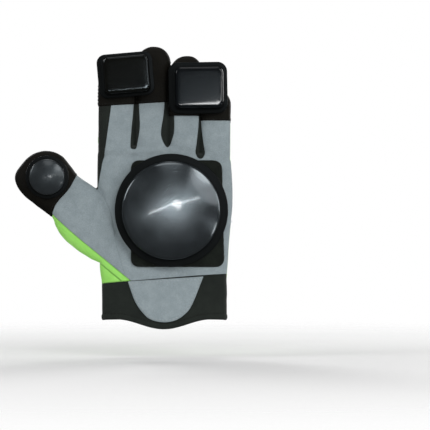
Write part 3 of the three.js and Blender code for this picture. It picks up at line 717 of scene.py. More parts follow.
def capOutline(i, up, slope, bow):
    finger = fingers[i]
    middle = fingerAt(finger, 0, up)
    low = [gapAfter(i - 1, middle[1]), gapAfter(i, middle[1])]
    half = finger["width"] / 2
    bottom = [(x, middle[1] + slope * (x - middle[0]) + bow * (1 - ((x - middle[0]) / half) ** 2))
              for x in np.linspace(low[0], low[1], 13)]
    heights = np.linspace(middle[1], finger["reach"] + 20, 9)
    rightSide = [(gapAfter(i, h), h) for h in heights[1:]]
    leftSide = [(gapAfter(i - 1, h), h) for h in heights[:0:-1]]
    return bottom + rightSide + leftSide


def thumbCapOutlines():
    lower = spline([thumbAt(0.54, -1.3), thumbAt(0.53, -0.9), thumbAt(0.504, -0.33), thumbAt(0.51, 0.23),
                    thumbAt(0.5, 0.55), thumbAt(0.466, 0.9), thumbAt(0.43, 1.3)])
    return (lower + [thumbAt(2, 1.3), thumbAt(2, -1.3)],
            [thumbAt(0.5, -1.3), thumbAt(0.48, 1.3), thumbAt(2, 1.3), thumbAt(2, -1.3)])


stripShapes = [  # palm side edges as (x, z), left then right, and the foot on the back
    {"name": "index_middle",
     "left": [(-26.4, 215), (-26.6, 190), (-28.2, 170), (-29.3, 155), (-28.6, 150.6)],
     "right": [(-24.6, 150.4), (-23.6, 155), (-21.3, 170), (-22.2, 190), (-22.6, 215)], "backFoot": 0.85},
    {"name": "middle_ring", "left": [(0.8, 232), (0.5, 188), (-2.2, 168), (-1.9, 160), (1.8, 152.6)],
     "right": [(4.6, 152.6), (7.6, 160), (9.1, 168), (8.7, 188), (7.6, 232)], "backFoot": 0.82},
    {"name": "ring_little", "left": [(30.6, 200), (30.8, 174), (28.6, 152), (28.2, 146), (30.6, 142)],
     "right": [(34, 142), (35.9, 146), (35.2, 152), (32.6, 174), (32.4, 200)], "backFoot": 0.73},
]
backShapes = {  # green panels: left and right edge at top, waist and foot, heights and slope of the foot
    "index": {"left": (-0.82, -0.9, -1.06), "right": (0.61, 0.44, 0.66), "up": (0.6, 0.05), "slope": 0.15},
    "middle": {"left": (-0.78, -0.61, -0.74), "right": (0.85, 0.8, 0.85), "up": (0.67, 0.068),
               "slope": -0.33},
    "ring": {"left": (-0.65, -0.53, -0.74), "right": (0.88, 0.8, 0.75), "up": (0.566, -0.035),
             "slope": -0.42},
    "little": {"left": (-0.36, -0.4, -0.69), "right": (1.3, 1.3, 1.3), "up": (0.555, -0.13), "slope": -0.5},
}


def backOutline(finger, shape):
    top, foot = shape["up"]
    tilt = shape["slope"] * finger["width"] / 2
    heights = (top + 0.2, (top + foot) / 2, foot)
    left, right = (spline([fingerAt(finger, a, u) for a, u in zip(shape[side], heights)])
                   for side in ("left", "right"))
    right = [(x, z + tilt * (1 - smoothstep(z, right[-1][1], right[0][1]))) for x, z in right]
    left = [(x, z - tilt * (1 - smoothstep(z, left[-1][1], left[0][1]))) for x, z in left]
    return right + left[::-1]


def stripBack(i, backFoot):
    before, after = fingers[i], fingers[i + 1]
    foot = (gapAfter(i, after["crotch"]) - 0.8, palmAt(0, backFoot)[1])
    leftSide = spline([fingerAt(before, 0, 1), fingerAt(before, 0.3, 0.3), fingerAt(before, 0.75, -0.02),
                       foot])
    rightSide = spline([foot, fingerAt(after, -0.72, -0.08), fingerAt(after, -0.2, 0.3),
                        fingerAt(after, 0, 1)])
    return leftSide + rightSide[1:]


def panelRows():
    # in the order they are cut: name, palm side outline, back outline
    rows = []
    for i, finger in enumerate(fingers):
        front, frontSlope, back, backSlope = capRows[finger["name"]]
        rows.append((finger["name"] + "_cap", capOutline(i, front, frontSlope, 0),
                     capOutline(i, back, backSlope, 1.3)))
    rows.append(("thumb_cap", *thumbCapOutlines()))
    rows.append((None, belowHem, belowBackHem))
    meet, top = cuffAt(0.03, 1.02)
    rows.append(("cuff", [(-far, -far), (far, -far)] + cuffTop[::-1],
                 [(meet, -far), (far, -far), (far, top), (meet, top)]))
    gussetTop = palmAt(0, 0.14)[1]
    lowSeam = [p for p in backThumbSeam if p[1] < gussetTop]
    rows.append(("thumb_gusset",
                 [thumbAt(-0.15, 1.08), thumbAt(-0.8, 1.08), thumbAt(-0.8, 3), thumbAt(-0.15, 3)],
                 [(-far, gussetTop), (lowSeam[0][0], gussetTop)] + lowSeam + [(-far, lowSeam[-1][1])]))
    crotch = palmAt(-1.005, 0.69)
    strip = spline([thumbAt(-0.8, 0.85), thumbAt(0.2, 0.83), thumbAt(0.7, 0.7)], 6)
    rows.append(("thumb_back_panel", strip + [thumbAt(0.7, 3), thumbAt(-0.8, 3)],
                 [(-far, far), (crotch[0], far), crotch] + backThumbSeam + [(-far, backThumbSeam[-1][1])]))
    rows.append(("thumb_panel",
                 [(-far, far), (crotch[0], far), crotch] + thumbSeam + [(-far, thumbSeam[-1][1])], None))
    for finger in fingers:
        rows.append((finger["name"] + "_back", None, backOutline(finger, backShapes[finger["name"]])))
    for i, shape in enumerate(stripShapes):
        rows.append((shape["name"] + "_strip", spline(shape["left"] + shape["right"], 6),
                     stripBack(i, shape["backFoot"])))
    index = fingers[0]
    rows.append(("index_side_panel",
                 [(-far, far), fingerAt(index, -0.25, 0.5), fingerAt(index, -0.27, 0.45),
                  fingerAt(index, -0.55, 0), palmAt(-0.985, 0.676), palmAt(-1.2, 0.676)],
                 [(-far, far), fingerAt(index, -0.5, 0.62), fingerAt(index, -0.8, 0.06),
                  (-far, fingerAt(index, -1, 0.06)[1])]))
    high, low = palmAt(-1.2, 0.455), cuffAt(0.03, 1.02)
    rows.append(("wrist_back_panel", None, [(-far, high[1]), high, low, (low[0], -far), (-far, -far)]))
    rows.append(("knuckle_panel", None, aboveKnuckleLine))
    return rows


thumbFold = {"x": -53, "z": 48, "depth": 4.0, "spread": 60}  # the palm side turns in at the thumb's foot


def cutPanels():
    away = (skin[:, 0] - thumbFold["x"]) ** 2 + (skin[:, 2] - thumbFold["z"]) ** 2
    crease = thumbFold["depth"] * np.exp(-away / thumbFold["spread"])
    points, triangles, _, palmSide, _ = cutAlong(skin, skinTriangles, skin[:, 1] - crease)
    found = {}
    for name, front, back in panelRows():
        masks = []
        for outline in (front, back):
            if outline is None:
                masks.append(np.zeros(len(triangles), bool))
                continue
            away = outlineDistance(points, outline)
            points, triangles, parents, inside, _ = cutAlong(points, triangles, away)
            palmSide = palmSide[parents]
            masks = [m[parents] for m in masks] + [inside]
        taken = (masks[0] & palmSide) | (masks[1] & ~palmSide)
        if name:
            found[name] = triangles[taken]
        triangles, palmSide = triangles[~taken], palmSide[~taken]
    found["palm_panel"], found["hand_back_panel"] = triangles[palmSide], triangles[~palmSide]
    return points, found


def aboveHem(points):
    return points[:, 2] - np.where(points[:, 1] < 0, hemHeight(points[:, 0]), hand["backHem"])


hem = {"roll": (2.2, 1.6, 0.7), "groove": (5.2, 0.5, -0.35)}  # height, spread and lift of each


def hemRoll(points):
    # a soft roll along the hem, with the groove of its stitches above it
    above = aboveHem(points)
    return sum(lift * np.exp(-((above - height) / spread) ** 2) for height, spread, lift in hem.values())


folds = [  # soft creases where the hand bends: ends (x, z), depth, width
    ((-52, 144), (-27, 143), 1.3, 3.2), ((-27, 143), (-4, 146), 1.1, 2.8), ((-86, 101), (-56, 109), 1.0, 3.5),
    ((-56, 113), (-41, 76), 0.8, 2.5), ((-41, 76), (-24, 46), 0.5, 3.0), ((-28, 196), (-4, 197), 0.6, 2.5),
    ((30, 150), (55, 139), 0.5, 3.0),
]


def palmFolds(points):
    place, sink = points[:, [0, 2]], np.zeros(len(points))
    for start, end, depth, width in folds:
        start, run = np.array(start), np.subtract(end, start)
        share = np.clip((place - start) @ run / (run @ run), 0, 1)
        away = np.linalg.norm(place - start - share[:, None] * run, axis=1)
        sink += depth * np.exp(-(away / width) ** 2)
    return -sink * (points[:, 1] < 0)


def newTree(name, **inputs):
    # a Geometry Nodes tree with named inputs: the tree, what adds nodes, and its input sockets
    tree = bpy.data.node_groups.new(name, "GeometryNodeTree")
    for label, kind in {"Geometry": "Geometry", **inputs}.items():
        tree.interface.new_socket(label, in_out="INPUT", socket_type="NodeSocket" + kind)
    tree.interface.new_socket("Geometry", in_out="OUTPUT", socket_type="NodeSocketGeometry")
    add = nodeAdder(tree)
    return tree, add, add("NodeGroupInput").outputs


def applyTree(piece, tree, values):
    # runs a tree on a piece and leaves the result as its plain mesh
    modifier = piece.modifiers.new(tree.name, "NODES")
    modifier.node_group = tree
    for item in tree.interface.items_tree:
        if item.in_out == "INPUT" and item.name in values:
            modifier[item.identifier] = values[item.name]
    mesh = evaluated(piece)
    piece.modifiers.clear()
    piece.data = mesh


ribs = {"Pitch": 3.0 * mm, "Height": 0.95 * mm, "Sway": 2.0}


def ribTree():
    # rows of shirring across the knuckles, uneven along their length and faded towards the seams
    tree, add, source = newTree("knuckleRibs", Pitch="Float", Height="Float", Sway="Float")
    place = add("GeometryNodeInputPosition").outputs[0]
    split = add("ShaderNodeSeparateXYZ", {0: place}).outputs
    along = vectorMaths(add, "MULTIPLY", place, (0.35, 0.35, 1.0))
    drift, breaks = (noise(add, along, scale, 2.0) for scale in (90.0, 200.0))
    rise = maths(add, "DIVIDE", split["Z"], source["Pitch"])
    lean = maths(add, "DIVIDE", maths(add, "MULTIPLY", split["X"], 0.08), source["Pitch"])
    sway = maths(add, "MULTIPLY", drift, source["Sway"])
    turn = maths(add, "MULTIPLY", maths(add, "ADD", maths(add, "ADD", rise, lean), sway), 2 * math.pi)
    uneven = maths(add, "MULTIPLY", maths(add, "SUBTRACT", breaks, 0.3), 2.6)
    wave = maths(add, "MULTIPLY", maths(add, "MULTIPLY", maths(add, "SINE", turn), uneven), source["Height"])
    inward = add("GeometryNodeInputNamedAttribute", {"Name": "inward"}, data_type="FLOAT").outputs[0]
    fade = maths(add, "MINIMUM", maths(add, "MULTIPLY", inward, 0.28), 1.0)
    normal = add("GeometryNodeInputNormal").outputs[0]
    facing = add("ShaderNodeSeparateXYZ", {0: normal}).outputs["Y"]
    backward = maths(add, "SUBTRACT", maths(add, "MULTIPLY", facing, 1.8), 0.35)
    backward = maths(add, "MINIMUM", maths(add, "MAXIMUM", backward, 0.0), 1.0)
    height = maths(add, "MULTIPLY", maths(add, "MULTIPLY", wave, backward), fade)
    offset = add("ShaderNodeVectorMath", {0: normal, "Scale": height}, operation="SCALE").outputs[0]
    moved = add("GeometryNodeSetPosition", {"Geometry": source["Geometry"], "Offset": offset}).outputs[0]
    add("NodeGroupOutput", {0: moved})
    return tree


def ribbed(piece):
    applyTree(piece, ribTree(), ribs)
    piece.data.polygons.foreach_set("use_smooth", [True] * len(piece.data.polygons))


cloths = {
    "suede": {"slot": "suede", "roll": (0.2, 0.8), "ripple": 0.14, "shape": palmFolds},
    "cap": {"slot": "black_leather", "raise": 0.3, "roll": (0.7, 1.2), "ripple": 0.12, "stitches": (1.7,)},
    "strip": {"slot": "black_stretch", "raise": -0.25, "roll": (0.4, 1.2), "ripple": 0.1},
    "lime": {"slot": "lime_cloth", "raise": 0.15, "roll": (0.85, 1.7), "puff": (0.5, 9), "ripple": 0.16},
    "cuff": {"slot": "black_stretch", "roll": (0.6, 1.4), "ripple": 0.22, "shape": hemRoll,
             "stitches": (hem["groove"][0],)},
    "wrist": {"slot": "black_stretch", "roll": (0.6, 1.4), "ripple": 0.3, "shape": hemRoll,
              "stitches": (hem["groove"][0],)},
    "knuckle": {"slot": "ribbed_knuckle", "raise": 0.1, "roll": (0.7, 1.6), "ribs": ribbed},
}
panelCloths = {
    "palm_panel": "suede", "thumb_panel": "suede", "thumb_cap": "cap", "cuff": "cuff",
    "wrist_back_panel": "wrist", "knuckle_panel": "knuckle", "hand_back_panel": "lime",
    "thumb_back_panel": "lime", "thumb_gusset": "lime", "index_side_panel": "strip",
}
for finger in fingers:
    panelCloths[finger["name"] + "_cap"] = "cap"
    panelCloths[finger["name"] + "_back"] = "lime"
for shape in stripShapes:
    panelCloths[shape["name"] + "_strip"] = "strip"

panelPoints, panels = cutPanels()
for panelName, panelTriangles in panels.items():
    clothPiece(panelName + "_cloth", panelPoints, panelTriangles, cloths[panelCloths[panelName]], [panelName])
print("panels sewn:", len(panels))


# layers sewn on: tongue, loop patch and strap
def layerPiece(name, outline, palmSide, look, nodes):
    half = (skin[:, 1] if palmSide else -skin[:, 1]) + 0.5
    points, triangles, _, inside, _ = cutAlong(skin, skinTriangles, half)
    points, triangles = used(points, triangles[inside])
    points, triangles, _, inside, _ = cutAlong(points, triangles, outlineDistance(points, outline))
    return clothPiece(name, points, triangles[inside], look, nodes)


tongue = {"slot": "suede", "raise": 1.35, "roll": (0.8, 1.1), "thickness": 1.1, "ripple": 0.12,
          "stitches": (1.9,), "thread": "greyThread"}
patch = {"slot": "strap_loop", "raise": 2.1, "roll": (0.9, 1.3), "thickness": 1.8, "ripple": 0.08,
         "stitches": (2.2,), "thread": "blackThread"}
strap = {"slot": "strap_loop", "raise": 2.3, "roll": (0.8, 1.2), "thickness": 1.9, "ripple": 0.2,
         "stitches": (2.0,), "thread": "blackThread"}
tongueOutline = spline([cuffAt(-0.53, 0.99), cuffAt(-0.43, 0.5), cuffAt(-0.32, 0.2), cuffAt(-0.2, 0.01),
                        cuffAt(-0.01, -0.07), cuffAt(0.17, -0.02), cuffAt(0.31, 0.14), cuffAt(0.42, 0.4),
                        cuffAt(0.585, 1.12)])
layerPiece("tongue", tongueOutline, True, tongue, ["wrist_tongue"])
patchSize = {"left": 40.75, "right": 40.75, "topRight": 39.1, "half": 46.8, "corner": 8.0}
patchX, patchZ = palmAt(0.2, 0.497)
patchLow, patchHigh = patchZ - patchSize["half"], patchZ + patchSize["half"]
patchOutline = roundCorners([(patchX - patchSize["left"], patchLow), (patchX + patchSize["right"], patchLow),
                             (patchX + patchSize["topRight"], patchHigh),
                             (patchX - patchSize["left"], patchHigh)], patchSize["corner"])
layerPiece("loopPatch", patchOutline, True, patch, ["palm_patch"])
strapSize = {"width": 27.0, "corner": 3.5}
strapEnd, strapLow = cuffAt(-0.53, 0.02)
strapStart, strapHigh = cuffAt(0.89, 0)[0], strapLow + strapSize["width"]
strapOutline = roundCorners([(strapEnd, strapLow), (strapStart, strapLow), (strapStart, strapHigh),
                             (strapEnd, strapHigh)], strapSize["corner"])
layerPiece("strap", strapOutline, False, strap, ["wrist_strap"])
print("layers sewn on")


# stitches and hooks: Geometry Nodes along rows of points
def rowTree(name, shape, sizes, alongRow):
    # one small shape again and again along a row, lying along it or standing towards +Y
    tree, add, source = newTree(name, Spacing="Float", Length="Float", Thread="Float", Material="Material")
    curve = add("GeometryNodeMeshToCurve", {"Mesh": source["Geometry"]}).outputs[0]
    steps = add("GeometryNodeResampleCurve", {"Curve": curve, "Length": source["Spacing"]}, mode="LENGTH")
    way = add("GeometryNodeInputTangent").outputs[0] if alongRow else (0, 1, 0)
    turn = add("FunctionNodeAlignRotationToVector", {"Vector": way}, axis="Z").outputs[0]
    thread = source["Thread"]
    size = add("ShaderNodeCombineXYZ", {"X": thread, "Y": thread, "Z": source["Length"]}).outputs[0]
    row = add("GeometryNodeInstanceOnPoints", {
        "Points": steps.outputs[0], "Instance": add(shape, sizes).outputs["Mesh"], "Rotation": turn,
        "Scale": size}).outputs[0]
    real = add("GeometryNodeRealizeInstances", {0: row}).outputs[0]
    painted = add("GeometryNodeSetMaterial", {"Geometry": real, "Material": source["Material"]}).outputs[0]
    add("NodeGroupOutput", {0: painted})
    return tree


stitches = {"spacing": 3.0, "length": 2.1, "thread": 0.75}
stitches["tree"] = rowTree("stitchRow", "GeometryNodeMeshUVSphere",
                           {"Segments": 6, "Rings": 4, "Radius": 0.5}, True)
hooks = {"spacing": 0.9, "length": 0.8, "thread": 0.6, "insets": (0.5, 1.3, 2.2, 3.2, 4.6)}
hooks["tree"] = rowTree("hookRow", "GeometryNodeMeshCone",
                        {"Vertices": 4, "Radius Top": 0.3, "Radius Bottom": 0.5, "Depth": 1.0}, False)


def sewRow(name, rows, thread, spacing=None, sizes=stitches):
    points, edges = [], []
    for row in rows:
        edges += [(len(points) + i, len(points) + i + 1) for i in range(len(row) - 1)]
        points += [tuple(p) for p in row]
    if not points:
        return
    piece = plainMesh(name, points, [], edges)
    applyTree(piece, sizes["tree"], {
        "Spacing": (spacing or sizes["spacing"]) * mm, "Length": sizes["length"] * mm,
        "Thread": sizes["thread"] * mm, "Material": finishes[thread]})
    finishPiece(piece, finishes[thread])


def onSkin(places, lift, side=1):
    # places (x, z) on the back (side 1) or the palm (side -1), lifted off the skin
    found = []
    for x, z in places:
        point, normal, _, _ = skinTree.ray_cast(Vector((x, side * rayStart, z)), Vector((0, -side, 0)))
        found.append(np.array(point + normal * lift))
    return np.array(found)


skinTree = BVHTree.FromPolygons(skin[:, :3].tolist(), skinTriangles.tolist())
boxStitch = {"left": 24.0, "right": 32.0, "low": 5.5, "high": 24.0, "lift": 2.35, "spacing": 2.2,
             "points": 12}
left, right, low, high = (boxStitch[key] for key in ("left", "right", "low", "high"))
crossed = [[(left, low), (right, low), (right, high), (left, high), (left, low)],
           [(left, low), (right, high)], [(right, low), (left, high)]]
boxRows = [np.concatenate([np.linspace(a, b, boxStitch["points"]) for a, b in zip(row, row[1:])])
           for row in crossed]
boxRows = [onSkin(row, boxStitch["lift"]) for row in boxRows]
sewRow("strapBox_stitches", boxRows, "blackThread", boxStitch["spacing"])
tack = {"centre": (-26.2, 33.6), "width": 8.0, "rows": 7, "turns": (-1.3, 0.9), "lift": 0.5, "spacing": 1.6,
        "points": 9}
tackRows = []
for turn in np.linspace(*tack["turns"], tack["rows"]):
    across = np.array((math.cos(turn), math.sin(turn))) * tack["width"] / 2
    row = np.linspace(tack["centre"] - across, tack["centre"] + across, tack["points"])
    tackRows.append(onSkin(row, tack["lift"]))
sewRow("tack_stitches", tackRows, "glossThread", tack["spacing"])

sink = 0.02  # of a stitch in its cloth
for name, look, offset, points, triangles, distance, lift, normal in stitchLines:
    surface = np.concatenate([points[:, :3] + normal * (lift - sink)[:, None], points[:, 3:]], 1)
    level = offset - distance
    if look.get("shape") is hemRoll:  # these follow the hem alone
        level = aboveHem(points) - offset
    sewRow(name + "_stitches", [row[:, :3] for row in levelLines(surface, triangles, level)],
           look.get("thread", "blackThread"))
print("stitched")


piping = {"radius": 1.35, "sink": 0.1, "roundness": 5, "steps": 160}


def pipingPiece():
    points, triangles, _, palmSide, _ = cutAlong(skin, skinTriangles, skin[:, 1])
    points, triangles = used(points, triangles[~palmSide])
    row = max(levelLines(points, triangles, outlineDistance(points, aboveKnuckleLine)), key=len)
    row = row[row[:, 0] > palmAt(-0.95, 0)[0]]
    if row[0, 0] > row[-1, 0]:
        row = row[::-1]
    curve = bpy.data.curves.new("piping", "CURVE")
    curve.dimensions, curve.use_fill_caps = "3D", True
    curve.bevel_depth, curve.bevel_resolution = piping["radius"] * mm, piping["roundness"]
    path = curve.splines.new("POLY")
    steps = row[:: max(1, len(row) // piping["steps"])]
    path.points.add(len(steps) - 1)
    for point, place in zip(path.points, steps):
        point.co = (*((place[:3] - place[3:6] * piping["sink"]) * mm), 1)
    cord = placed("piping", curve)
    mesh = evaluated(cord)
    bpy.data.objects.remove(cord)
    finishPiece(placed("piping", mesh), finishes["white_piping"], ["knuckle_piping"])


pipingPiece()
print("piping laid")


# pucks and their hook tape
def boxOf(node):
    # lowest and highest corners of a CAD node, in millimetres
    return [np.array(corner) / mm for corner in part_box(node)]


def lathe(profile, centre, sides):
    rings = []
    for radius, depth in profile:
        angle = np.linspace(0, 2 * np.pi, sides, endpoint=False)
        rings.append(np.stack([centre[0] + radius * np.cos(angle), np.full(sides, centre[1] - depth),
                               centre[2] + radius * np.sin(angle)], 1))
    first = (centre[0], centre[1] - profile[0][1], centre[2])
    last = (centre[0], centre[1] - profile[-1][1], centre[2])
    return loft(rings, first, last)


def outward(piece):
    form = bmesh.new()
    form.from_mesh(piece.data)
    bmesh.ops.recalc_face_normals(form, faces=form.faces)
    form.to_mesh(piece.data)
    form.free()
    return piece


def paintFlange(piece, limit):
    # the second finish, on the faces behind the limit
    for face in piece.data.polygons:
        if face.center.y / mm > limit:
            face.material_index = 1


puckEdge = {"back": 0.8, "front": 0.7, "root": 0.9}  # rounding of a flange's edges and of the dome's foot


def turnedPuck(name, node, shape, dome, flange):
    low, high = boxOf(node)
    centre = ((low[0] + high[0]) / 2, high[1], (low[2] + high[2]) / 2)
    r, d, t, f = shape["radius"], shape["dome"], shape["thickness"], shape["flange"]
    back, front, root = puckEdge["back"], puckEdge["front"], puckEdge["root"]
    bevel, shoulder = shape["bevel"], shape["shoulder"]
    quarter = math.pi / 2
    profile = [(0.5, 0), (r - back, 0)]
    profile += [(r - back * (1 - math.sin(a)), back * (1 - math.cos(a)))
                for a in np.linspace(0.3, quarter, 5)]
    profile += [(r - front * (1 - math.cos(a)), f - front + front * math.sin(a))
                for a in np.linspace(0, quarter, 6)]
    profile += [(d + 1.0 - root * math.sin(a), f + 0.25 + root * (1 - math.cos(a)))
                for a in np.linspace(0.1, 1.4, 5)]
    profile += [(d - bevel * (1 - math.cos(a)), shoulder - bevel * (1 - math.sin(a)) * 0.9)
                for a in np.linspace(0, shape["roundOff"], 9)]
    startRadius, startDepth = profile[-1]
    for share in np.linspace(0, 1, 26)[1:]:
        radius = max(startRadius * (1 - share), 0.4)
        profile.append((radius, t - (t - startDepth) * (radius / startRadius) ** shape["crown"]))
    points, faces = lathe(profile, centre, shape["sides"])
    piece = outward(plainMesh(name, points, faces))
    finishPiece(piece, [finishes[dome], finishes[flange]], [node])
    paintFlange(piece, high[1] - f - root)


turnedPuck("palmPuck", "palm_puck", {
    "radius": 49.7, "dome": 43.3, "thickness": 13.5, "flange": 3.0, "shoulder": 9.0, "bevel": 3.0,
    "roundOff": 1.15, "crown": 2.3, "sides": 160}, "palmDome", "puckFlange")
turnedPuck("thumbPuck", "thumb_puck", {
    "radius": 19.0, "dome": 15.6, "thickness": 9.0, "flange": 2.0, "shoulder": 6.6, "bevel": 2.2,
    "roundOff": 1.1, "crown": 2.1, "sides": 96}, "thumbDome", "puckFlange")


def roundedRing(width, height, radius, steps=9):
    out = []
    for quarter, (sx, sz) in enumerate([(1, 1), (-1, 1), (-1, -1), (1, -1)]):
        for step in range(steps):
            angle = (quarter + step / (steps - 1)) * math.pi / 2
            out.append((sx * (width / 2 - radius) + radius * math.cos(angle),
                        sz * (height / 2 - radius) + radius * math.sin(angle)))
    return out


blocks = {
    "index_middle_puck": {"centre": (-33.594, -12.4, 215.168), "size": (49.0, 38.7), "corner": 7.5,
                          "face": (39.2, 32.0), "faceCorner": 4.5, "shift": 1.2, "tilt": 5.0, "crown": 0.1,
                          "material": "blockOne"},
    "ring_little_puck": {"centre": (30.107, -12.4, 203.721), "size": (51.8, 45.3), "corner": 8.5,
                         "face": (41.8, 35.6), "faceCorner": 5.0, "shift": 1.4, "tilt": 1.0, "crown": 0.09,
                         "material": "blockTwo"},
}
blockForm = {"thickness": 11.0, "flange": 2.6, "foot": 3.8, "soft": 1.8, "edge": 0.8, "root": 0.9,
             "faceShares": (0.985, 0.97, 0.955, 0.94, 0.92, 0.9, 0.87, 0.84, 0.78, 0.7, 0.5, 0.25, 0.06)}


def onBlock(shape, x, z):
    # a place on a block, turned with it about its centre
    (centreX, _, centreZ), turn = shape["centre"], math.radians(shape["tilt"])
    return (centreX + x * math.cos(turn) - z * math.sin(turn),
            centreZ + x * math.sin(turn) + z * math.cos(turn))


def blockPuck(node, shape):
    (w, h), (fw, fh), centre = shape["size"], shape["face"], shape["centre"]
    thick, flange, soft, edge = (blockForm[key] for key in ("thickness", "flange", "soft", "edge"))
    top, foot, quarter = thick - soft, blockForm["foot"], math.pi / 2
    rows = [(0, 0, edge)]  # depth, share of the way in to the face's outline, trim
    rows += [(edge * (1 - math.cos(a)), 0, edge * (1 - math.sin(a))) for a in (0.5, 1.0, quarter)]
    rows += [(flange - edge + edge * math.sin(a), 0, edge * (1 - math.cos(a)))
             for a in np.linspace(0, 1.35, 5)]
    rows += [(flange + 0.1, 0.5, 0), (flange + 0.35, 0.78, 0), (foot, 0.92, 0)]
    rows += [(foot + (top - foot) * t, 0.92 + 0.08 * t, 0) for t in (0.35, 0.7, 1.0)]
    rows += [(top + soft * math.sin(a), 1, soft * (1 - math.cos(a))) for a in np.linspace(0.2, quarter, 7)]

    def ringAt(depth, share, trim, shrink=1.0):
        width, height = w + (fw - w) * share - 2 * trim, h + (fh - h) * share - 2 * trim
        corner = shape["corner"] + (shape["faceCorner"] - shape["corner"]) * share - trim * 0.6
        ring = [onBlock(shape, x * shrink + shape["shift"] * share, z * shrink)
                for x, z in roundedRing(width, height, max(corner, 1.0))]
        return np.array([(x, centre[1] - depth, z) for x, z in ring])
    rings = [ringAt(*row) for row in rows]
    for share in blockForm["faceShares"]:  # crowned face
        rings.append(ringAt(thick + shape["crown"] * (1 - share ** 16), 1, soft, share))
    last = tuple(rings[-1].mean(0) + np.array((0, -0.001, 0)))
    points, faces = loft(rings, centre, last)
    piece = outward(plainMesh(node.replace("_puck", "Puck"), points, faces))
    finishPiece(piece, [finishes[shape["material"]], finishes["puckFlange"]], [node])
    paintFlange(piece, centre[1] - flange - blockForm["root"])


for node, shape in blocks.items():
    blockPuck(node, shape)


tape = {"reach": 0.3, "soft": 0.35, "flat": 5.0, "margin": 1.5, "sink": 0.05}


def hookTape(node, ring):
    # hook tape glued under a puck, its hooks standing into the loops; ring(inset) gives its outline
    low, high = boxOf(node)
    back, front, soft = high[1], low[1] - tape["reach"], tape["soft"]
    profile = [(tape["flat"], back), (soft, back), (0.1, back - 0.1), (0, back - soft), (0, front + soft),
               (0.1, front + 0.1), (soft, front), (tape["flat"], front)]
    rings = [np.array([(x, y, z) for x, z in ring(inset)]) for inset, y in profile]
    middle = rings[0].mean(0)
    points, faces = loft(rings, tuple(middle), (middle[0], front, middle[2]))
    name = node.replace("_puck_hook_pad", "Hook")
    finishPiece(outward(plainMesh(name + "Tape", points, faces)), finishes["hook_tape"], [node])
    rows = [[(x, back - tape["sink"], z) for x, z in ring(inset) + ring(inset)[:1]]
            for inset in hooks["insets"]]
    sewRow(name + "s", rows, "hook_tape", sizes=hooks)


def roundOutline(node):
    low, high = boxOf(node)
    x, z, radius = (low[0] + high[0]) / 2, (low[2] + high[2]) / 2, (high[0] - low[0]) / 2
    return lambda inset: [(x + (radius - inset) * math.cos(a), z + (radius - inset) * math.sin(a))
                          for a in np.linspace(0, 2 * np.pi, 96, endpoint=False)]


def blockOutline(shape):
    width, height = (side - 2 * tape["margin"] for side in shape["size"])
    corner = shape["corner"] - tape["margin"]
    return lambda inset: [onBlock(shape, x, z) for x, z in roundedRing(
        width - 2 * inset, height - 2 * inset, max(corner - inset, 0.8))]


for node in ("palm_puck_hook_pad", "thumb_puck_hook_pad"):
    hookTape(node, roundOutline(node))
for node, shape in blocks.items():
    hookTape(node + "_hook_pad", blockOutline(shape))
print("pucks made")


# camera, square to the palm, with the photograph's frame; millimetres
view = {"centre": (45.06, 91.96), "width": 378.4, "distance": 2100.0, "plane": -12.0}
camera = bpy.data.cameras.new("camera")
camera.lens = 36.0 * view["distance"] / view["width"]
camera.clip_end = 50
cameraPiece = placed("camera", camera)
cameraPiece.location = Vector((view["centre"][0], view["plane"] - view["distance"], view["centre"][1])) * mm
cameraPiece.rotation_euler = (math.pi / 2, 0, 0)
bpy.context.scene.camera = cameraPiece

paper = {"radius": 4.0, "sides": 96, "below": 26.0, "fade": (0.2, 0.75), "grey": 0.72, "rough": 0.9}


def stageFloor():
    # a pale round floor that fades away outwards
    ring = [(paper["radius"] * math.cos(a), paper["radius"] * math.sin(a), 0)
            for a in np.linspace(0, 2 * np.pi, paper["sides"], endpoint=False)]
    mesh = bpy.data.meshes.new("floor")
    mesh.from_pydata(ring, [], [tuple(range(paper["sides"]))])
    floor = placed("floor", mesh)
    floor.location = (0, 0, -(hand["hemDrop"] + paper["below"]) * mm)
    add, paint, place = newFinish("floorPaper")
    tree = finishes["floorPaper"].node_tree
    away = vectorMaths(add, "LENGTH", place, result="Value")
    paint({"Base Color": (paper["grey"],) * 3 + (1,), "Roughness": paper["rough"]})
    mixed = add("ShaderNodeMixShader", {
        0: mapped(add, away, *paper["fade"], 0.0, 1.0), 1: tree.nodes["Principled BSDF"].outputs[0],
        2: add("ShaderNodeBsdfTransparent").outputs[0]})
    fill(tree, tree.nodes["Material Output"], {"Surface": mixed.outputs[0]})
    mesh.materials.append(finishes["floorPaper"])
    floor.visible_glossy = floor.visible_shadow = False


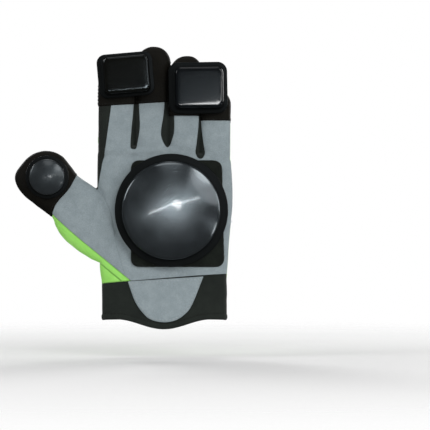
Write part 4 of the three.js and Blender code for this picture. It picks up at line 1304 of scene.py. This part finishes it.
stageFloor()
lightBasis = {"to": (0, 0, 0.1), "turn": 0}
lights = {  # place and target in metres, size, power, turn about its own axis in degrees
    "keyRight": {"at": (0.92, -1.6, 0.78), "size": 1.2, "power": 8.5},
    "keyCore": {"at": (0.72, -1.6, 0.92), "size": 0.55, "power": 4.5},
    "keyTop": {"at": (-0.1, -1.6, 1.5), "size": 0.8, "power": 4.5},
    "fillLeft": {"at": (-1.9, -0.9, 1.0), "size": 1.0, "power": 17},
    "fillRight": {"at": (1.8, -1.1, 0.45), "to": (0, 0, 0.15), "size": 0.9, "power": 12.5},
    "lowRight": {"at": (1.15, -1.6, -0.4), "size": 0.35, "power": 2.5},
    "above": {"at": (0, 0.45, 1.9), "to": (0, 0, 0), "size": 1.2, "power": 8},
    "backLeft": {"at": (-1.1, 1.9, 0.9), "size": 1.0, "power": 26},
    "backRight": {"at": (1.3, 1.7, 0.7), "size": 1.0, "power": 26},
    "tube": {"at": (0.065, -2.2, 0.215), "to": (0.065, 0, 0.215), "size": 1.2, "height": 0.012, "power": 3.2,
             "turn": 17.5},
    "glow": {"at": (0.07, -2.2, 0.2), "size": 0.16, "power": 2.3},
}
for name, light in lights.items():
    light = {**lightBasis, **light}
    lamp = bpy.data.lights.new(name, "AREA")
    lamp.shape = "RECTANGLE" if "height" in light else "ELLIPSE"
    lamp.size, lamp.size_y, lamp.energy = light["size"], light.get("height", light["size"]), light["power"]
    holder = placed(name, lamp)
    holder.location = light["at"]
    aim = (Vector(light["to"]) - Vector(light["at"])).to_track_quat("-Z", "Y")
    holder.rotation_euler = (aim @ Quaternion((0, 0, 1), math.radians(light["turn"]))).to_euler()
    holder.visible_camera = False
print("floor, camera and lights set")

sky = {"light": 0.14, "behind": 1.0}  # strength on the glove, and as the white background
world = bpy.data.worlds.new("studio")
bpy.context.scene.world = world
world.use_nodes = True
add = nodeAdder(world.node_tree)
seen = add("ShaderNodeLightPath").outputs["Is Camera Ray"]
fill(world.node_tree, world.node_tree.nodes["Background"], {
    "Color": (1, 1, 1, 1), "Strength": mapped(add, seen, 0.0, 1.0, sky["light"], sky["behind"])})
bpy.context.scene.view_settings.view_transform = "Standard"
